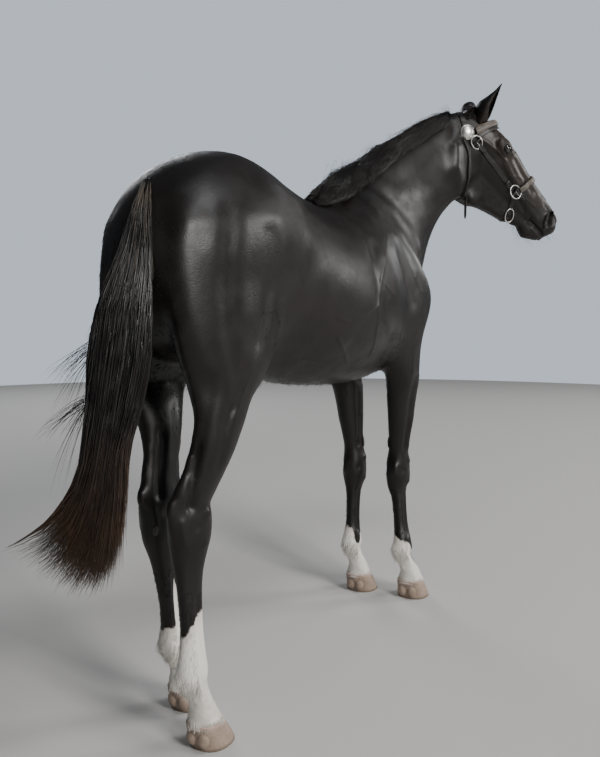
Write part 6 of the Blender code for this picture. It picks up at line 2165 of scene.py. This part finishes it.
SPARE_ENDS = [  # line, width, how high it lies
    ([(0.112, 0.0785, -0.047), (0.130, 0.080, -0.0465), (0.148, 0.081, -0.046),
      (0.163, 0.081, -0.046)], STRAP_WIDTH * 0.92, STRAP),
    ([(0.376, 0.054, -0.050), (0.394, 0.052, -0.046), (0.410, 0.050, -0.043),
      (0.425, 0.049, -0.041)], STRAP_WIDTH * 0.75, STRAP * 0.6),
]
extras = list(wraps)
for side in (-1, 1):
    extras += [keeper(sided(CHEEK, side), along, STRAP_WIDTH) for along in (16, 41)]
    extras += [strap("spare_end", sided(line, side), width=width, lift=lift, steps=6, pointed=True)
               for line, width, lift in SPARE_ENDS]
keepers = merged("bridle_keepers", extras, Matrix.Identity(4))
print("keepers and spare ends:", len(keepers.data.polygons), "faces")

# %% [markdown]
# Bridle leather is dyed black, but its cut edges and the crests of its grain wear to a
# warm grey-brown, and it is waxed to a soft shine. Thread is waxed too and a shade
# paler. Silver dulls in its hollows and keeps fine scratches on what stands up.
# %% Leather and silver
GRAIN, come, go = new_group(
    "leather grain", [("Vector", "Vector", None), ("Size", "Float", 0.0012)],
    [("Height", "Float"), ("Crest", "Float")])
size = calc(GRAIN, "DIVIDE", 1.0, come["Size"])
cells = add(GRAIN, "TexVoronoi", come["Vector"], None, size, feature="DISTANCE_TO_EDGE")
pores = add(GRAIN, "TexNoise", come["Vector"], Scale=size, Detail=2.0)
crest = ramp(GRAIN, cells.outputs["Distance"], 0.02, 0.25)
GRAIN.links.new(calc(GRAIN, "MULTIPLY_ADD", pores.outputs["Fac"], 0.4, crest), go.inputs[0])
GRAIN.links.new(crest, go.inputs[1])


def make_leather(name, dark, light, worn, edge_colour, edge_from=0.25):
    material, tree, shader = new_material(name, Specular_IOR_Level=0.34, Coat_Roughness=0.30)
    place = object_place(tree)
    stitch = read(tree, "stitch")
    edge = read(tree, "edge")
    grain = place_group(tree, GRAIN, Vector=place, Size=0.0013)
    patch = patches(tree, place, 0.018, 0.6)
    colour = blend(tree, patch, dark, light)
    colour = blend(tree, calc(tree, "MULTIPLY", grain["Crest"], 0.25), colour, worn)
    rub = calc(tree, "MULTIPLY", ramp(tree, edge, edge_from, 0.95), 0.75)
    colour = blend(tree, rub, colour, edge_colour)
    colour = blend(tree, stitch, colour, tuple(min(1.0, 3.0 * c + 0.02) for c in light))
    rough = ramp(tree, patch, 0.0, 1.0, 0.42, 0.58)
    feed(tree, shader, Base_Color=colour, Roughness=rough,
         Normal=bump(tree, grain["Height"], 0.0005, 0.5),
         Coat_Weight=calc(tree, "MULTIPLY_ADD", stitch, -0.2, 0.2, clamp=True))
    return material


def make_silver():
    material, tree, shader = new_material("tarnished silver", Metallic=1.0)
    place = object_place(tree)
    cloud = patches(tree, place, 0.010, 0.5)
    scratches = streaks(tree, place, (2500, 250, 250))
    colour = blend(tree, cloud, (0.86, 0.85, 0.83), (0.60, 0.57, 0.53))
    rough = calc(tree, "MULTIPLY_ADD", scratches, 0.12, ramp(tree, cloud, 0.0, 1.0, 0.24, 0.38))
    feed(tree, shader, Base_Color=colour, Roughness=rough,
         Normal=bump(tree, scratches, 0.0002, 0.25))
    return material


BLACK_LEATHER = make_leather("black bridle leather", (0.005, 0.0045, 0.0045),
                             (0.011, 0.009, 0.0085), (0.020, 0.017, 0.015), (0.055, 0.042, 0.034))
BROWN_LEATHER = make_leather("brown padded leather", (0.066, 0.054, 0.044), (0.120, 0.102, 0.084),
                             (0.180, 0.155, 0.130), (0.035, 0.026, 0.020), 0.5)
LOOP_LEATHER = make_leather("brown loop leather", (0.035, 0.019, 0.012), (0.080, 0.046, 0.030),
                            (0.150, 0.095, 0.066), (0.020, 0.012, 0.009), 0.5)
SILVER = make_silver()
print("leather nodes:", len(BLACK_LEATHER.node_tree.nodes))

# %% [markdown]
# ## Tufts of the short coat
# The short coat lies flat and is bump almost everywhere, but it breaks the outline in some
# places: feathers behind the fetlocks, the fringe that hangs over each hoof, the backs of
# the cannons, the ears, the lashes, the whiskers, under the jaw, at the elbows, the flanks
# and along the belly. There it is made as small locks, rooted on the skin by area, that
# follow the lie of the hair and carry the same markings as the skin below them.
# %% The lie of the hair
def lie_of_hair(points, normals):
    """The way the coat is combed at each point, along the skin."""
    local = in_head_axes(points)
    down_face = np.array(HEAD.to_3x3().col[0])
    flow = np.tile([-0.80, 0.0, -0.55], (len(points), 1))
    flow[points[:, 0] > 0.55] = (-0.45, 0.05, -0.85)
    flow[points[:, 2] < 0.90] = (-0.05, 0.0, -1.0)
    flow[(local[:, 0] > -0.02) & (points[:, 0] > 0.85)] = down_face
    flow -= normals * (flow * normals).sum(1, keepdims=True)
    return flow / (np.linalg.norm(flow, axis=1, keepdims=True) + 1e-9)


def round_share(a, b):
    """How far round the direction of (a, b) lies, from 0 to 1."""
    return (np.arctan2(a, b) / math.pi + 1) / 2


def unwrapped(points):
    """Each root's place on a plan of the skin: four legs, the head and the trunk as tubes."""
    legs, offset = nearest_leg(points)
    local = in_head_axes(points)
    plan = np.stack([0.50 + 0.47 * round_share(points[:, 1], points[:, 2] - 1.2),
                     0.36 + 0.30 * (points[:, 0] + 0.9) / 1.9], axis=1)
    on_head = points[:, 0] > 0.93
    plan[on_head, 0] = 0.02 + 0.45 * round_share(local[:, 1], local[:, 2])[on_head]
    plan[on_head, 1] = 0.36 + 0.30 * np.clip((local[on_head, 0] + 0.2) / 0.9, 0, 1)
    on_leg = points[:, 2] < 0.75
    plan[on_leg, 0] = (0.02 + 0.24 * legs + 0.21 * round_share(offset[:, 1], offset[:, 0]))[on_leg]
    plan[on_leg, 1] = 0.02 + 0.30 * points[on_leg, 2] / 0.75
    return plan


def skin_triangles():
    mesh = skin.data
    mesh.calc_loop_triangles()
    corners = np.empty(len(mesh.loop_triangles) * 3, np.int32)
    mesh.loop_triangles.foreach_get("vertices", corners)
    return points_of(skin)[corners.reshape(-1, 3)]


TRIANGLES = skin_triangles()
MIDDLES = TRIANGLES.mean(1)


def rooted(rng, inside, count):
    """Random roots on the chosen triangles, evenly by area, with their normals."""
    chosen = TRIANGLES[inside]
    cross = np.cross(chosen[:, 1] - chosen[:, 0], chosen[:, 2] - chosen[:, 0])
    area = np.linalg.norm(cross, axis=1)
    pick = rng.choice(len(chosen), count, p=area / area.sum())
    a, b = rng.uniform(0, 1, (2, count, 1))
    a, b = np.where(a + b > 1, 1 - a, a), np.where(a + b > 1, 1 - b, b)
    corner = chosen[pick]
    roots = corner[:, 0] + a * (corner[:, 1] - corner[:, 0]) + b * (corner[:, 2] - corner[:, 0])
    return roots, cross[pick] / (area[pick, None] + 1e-12)


def tufts(seed, inside, count, length, width, stand, fall=0.0):
    """Short locks: `stand` is how far the tip stands off, `fall` how far it hangs."""
    rng = np.random.default_rng(seed)
    roots, normals = rooted(rng, inside, count)
    combed = lie_of_hair(roots, normals)
    reach = length * rng.uniform(0.6, 1.2, (count, 1, 1))
    t = np.linspace(0, 1, 5)[None, :, None]
    sideways = np.cross(normals, combed)
    lean = sideways * rng.normal(0, 0.20, (count, 1))
    up = normals[:, None] * (stand * rng.uniform(0.5, 1.3, (count, 1, 1)) * t)
    paths = roots[:, None] + reach * ((combed + lean)[:, None] * t + up)
    paths[..., 2] -= (reach * fall * t ** 2)[..., 0]
    outward = np.broadcast_to(normals[:, None], paths.shape)
    widths = taper(5, count, rng.uniform(0.6, 1.2, count) * width)
    return paths, widths, outward, unwrapped(roots), rng.uniform(0, 1, count)


def zone(low, high):
    return ((MIDDLES > low) & (MIDDLES < high)).all(1)


def leg_zone(leg, low, high, back_only):
    legs, offset = nearest_leg(MIDDLES)
    mine = (legs == list(LEGS).index(leg)) & (MIDDLES[:, 2] > low) & (MIDDLES[:, 2] < high)
    return mine & (offset[:, 0] < -0.6 * np.abs(offset[:, 1])) if back_only else mine


def in_head_zone(low, high):
    local = in_head_axes(MIDDLES)
    local[:, 1] = np.abs(local[:, 1])
    return ((local > low) & (local < high)).all(1)


FOOT_TUFTS = [  # seed, lowest, highest, only behind; then count, length, width, stand, fall
    (400, 0.165, 0.225, True, 170, 0.022, 0.0014, 0.24, 0.35),
    (410, CORONET - 0.002, CORONET + 0.010, False, 420, 0.013, 0.0013, 0.25, 0.3),
    (420, 0.225, 0.44, True, 260, 0.012, 0.0011, 0.22),
    (430, CORONET + 0.01, 0.165, False, 380, 0.007, 0.0009, 0.07),
]
foot_tufts = joined("foot_tufts", [tufts(seed + n, leg_zone(leg, low, high, behind), *hair)
                                   for n, leg in enumerate(LEGS)
                                   for seed, low, high, behind, *hair in FOOT_TUFTS])

# %% [markdown]
# The tufts of the head are the finest, with the longest inside the ears, and single stiff
# whiskers on the lips, the chin and over the eyes.
# %% Tufts of the head and body
def ear_tufts(seed, hand, count):
    """Hairs that spring from the inner wall of the ear and lean out over its rims."""
    rng = np.random.default_rng(seed)
    _, x, y, z = ear_frame(hand)
    height = rng.uniform(0.04, 0.82, count)
    share = rng.choice([-1, 1], count) * rng.uniform(0.55, 0.99, count)
    roots = np.array([ear_point(hand, h, s, 0.0032) for h, s in zip(height, share)])
    inward = np.array([y * (-s) + x * 0.7 for s in share])
    reach = (0.016 * (1 - 0.55 * height) * rng.uniform(0.6, 1.2, count))[:, None, None]
    t = np.linspace(0, 1, 5)[None, :, None]
    flow = np.array(z) * 0.75 + inward * 0.6 + rng.normal(0, 0.12, (count, 3))
    paths = roots[:, None] + reach * (flow[:, None] * t - inward[:, None] * 0.25 * t ** 2)
    outward = np.broadcast_to(np.array(x), paths.shape)
    widths = taper(5, count, rng.uniform(0.6, 1.1, count) * 0.0009)
    return paths, widths, outward, unwrapped(roots), rng.uniform(0, 1, count)


def lashes(seed, side, count):
    """Straight lashes along the upper lid, longest in its middle, and a few below."""
    rng = np.random.default_rng(seed)
    centre, _, up, out = (np.array(v) for v in eye_frame(side))
    upper = np.arange(count) < count * 0.8
    turn = np.where(upper, rng.uniform(0.35, 2.7, count), rng.uniform(3.6, 5.6, count))
    roots = np.array([np.array(ray(side, a, opening(a) + 0.03)) for a in turn])
    roots = centre + roots * (EYE_RADIUS + 0.0018)
    length = (np.where(upper, 0.011 * np.abs(np.sin(turn)) + 0.003, 0.005))[:, None, None]
    t = np.linspace(0, 1, 5)[None, :, None]
    flow = out + np.where(upper, -0.10, -0.5)[:, None] * up + rng.normal(0, 0.08, (count, 3))
    paths = roots[:, None] + length * (flow[:, None] * t) - length * 0.45 * up * t ** 2
    outward = np.broadcast_to(up, paths.shape)
    widths = taper(5, count, np.full(count, 0.0004), root=1.0)
    return paths, widths, outward, unwrapped(roots), rng.uniform(0, 1, count)


HEAD_TUFTS = [  # seed, low and high corner in the head's axes, then as for the feet
    (444, (0.545, 0.0, -0.14), (0.64, 0.06, -0.03), 90, 0.026, 0.0005, 1.3, 0.25),
    (445, (0.47, 0.0, -0.15), (0.56, 0.05, -0.11), 60, 0.028, 0.0005, 1.4, 0.3),
    (446, (0.02, 0.0, -0.26), (0.46, 0.06, -0.12), 420, 0.011, 0.0011, 0.25, 0.3),
    (447, (0.06, 0.0, 0.03), (0.50, 0.07, 0.10), 260, 0.006, 0.0006, 0.05),
    (448, (-0.08, 0.02, -0.06), (0.06, 0.09, 0.03), 240, 0.012, 0.001, 0.2),
]
BODY_TUFTS = [  # the same, in the body's axes
    (450, (-0.70, -0.10, 0.80), (0.60, 0.09, 1.02), 900, 0.014, 0.0013, 0.22, 0.3),
    (451, (0.28, -0.30, 0.90), (0.46, 0.30, 1.06), 380, 0.014, 0.0013, 0.28, 0.1),
    (452, (-0.52, -0.30, 0.92), (-0.36, 0.30, 1.16), 380, 0.015, 0.0013, 0.28, 0.1),
    (453, (0.62, -0.16, 0.98), (0.85, 0.14, 1.40), 420, 0.013, 0.0012, 0.20, 0.1),
    (454, (-0.90, -0.14, 0.95), (-0.60, 0.13, 1.38), 520, 0.014, 0.0012, 0.22, 0.1),
    (455, (-0.75, -0.06, 1.45), (0.12, 0.04, 1.66), 520, 0.012, 0.0011, 0.10),
    (456, (0.50, -0.30, 1.20), (0.98, 0.16, 1.62), 420, 0.012, 0.0011, 0.12, 0.1),
]
face = [ear_tufts(440, "right", 420), ear_tufts(441, "left", 420),
        lashes(442, -1, 60), lashes(443, 1, 60)]
face += [tufts(seed, in_head_zone(low, high), *hair) for seed, low, high, *hair in HEAD_TUFTS]
face_tufts = joined("face_tufts", face)
body_tufts = joined("body_tufts", [tufts(seed, zone(low, high), *hair)
                                   for seed, low, high, *hair in BODY_TUFTS])

# %% [markdown]
# ## Into the frame
# Each finished piece is moved to the frame's origin and gets its finish. It rides on the
# one body, and the nodes of the frame that it stands for are hidden.
# %% Settle every piece
def settle(obj, material, slot, *nodes):
    """Moves a finished piece into the frame, gives it its finish and hides the nodes it replaces.
    """
    put_points(obj, points_of(obj) + np.array(SHIFT))
    obj.data.materials.clear()
    obj.data.materials.append(material)
    obj.data.name = obj.name
    only(obj)
    bpy.ops.object.shade_smooth()
    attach(obj, "root")
    if nodes:
        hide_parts(*nodes)


coat_attributes(skin)
FLESH = (["head", "neck", "trunk", "ear_right", "ear_left"]
         + ["leg_%s_%s" % (leg, part) for leg in LEGS for part in ("upper", "lower")])
settle(skin, COAT, "coat", *FLESH)
for hand, ball in eyes.items():
    settle(ball, EYE_WET, "eye", "eye_" + hand)
for leg, horn in hooves.items():
    settle(horn, HORN, "hoof_horn", "hoof_" + leg)
settle(chestnuts, CHESTNUT, "hoof_horn")
settle(mane_top, MANE_HAIR, "long_hair", "mane")
settle(mane_under, MANE_HAIR, "long_hair")
settle(mane_core, MANE_HAIR, "long_hair")
settle(tail_top, TAIL_HAIR, "long_hair", "tail")
settle(tail_under, TAIL_HAIR, "long_hair")
settle(forelock, MANE_HAIR, "long_hair", "forelock")
for node, piece in straps.items():
    settle(piece, BLACK_LEATHER, "black_leather", node)
settle(brow_pad, BROWN_LEATHER, "brown_leather", "browband")
settle(brow_back, BLACK_LEATHER, "black_leather")
settle(nose_pad, BROWN_LEATHER, "brown_leather")
settle(loops, LOOP_LEATHER, "brown_leather")
settle(keepers, BLACK_LEATHER, "black_leather")
for node, piece in metal.items():
    settle(piece, SILVER, "silver", node)
for piece in (foot_tufts, face_tufts, body_tufts):
    coat_attributes(piece)
    settle(piece, COAT, "coat")
print("all pieces ride on root")
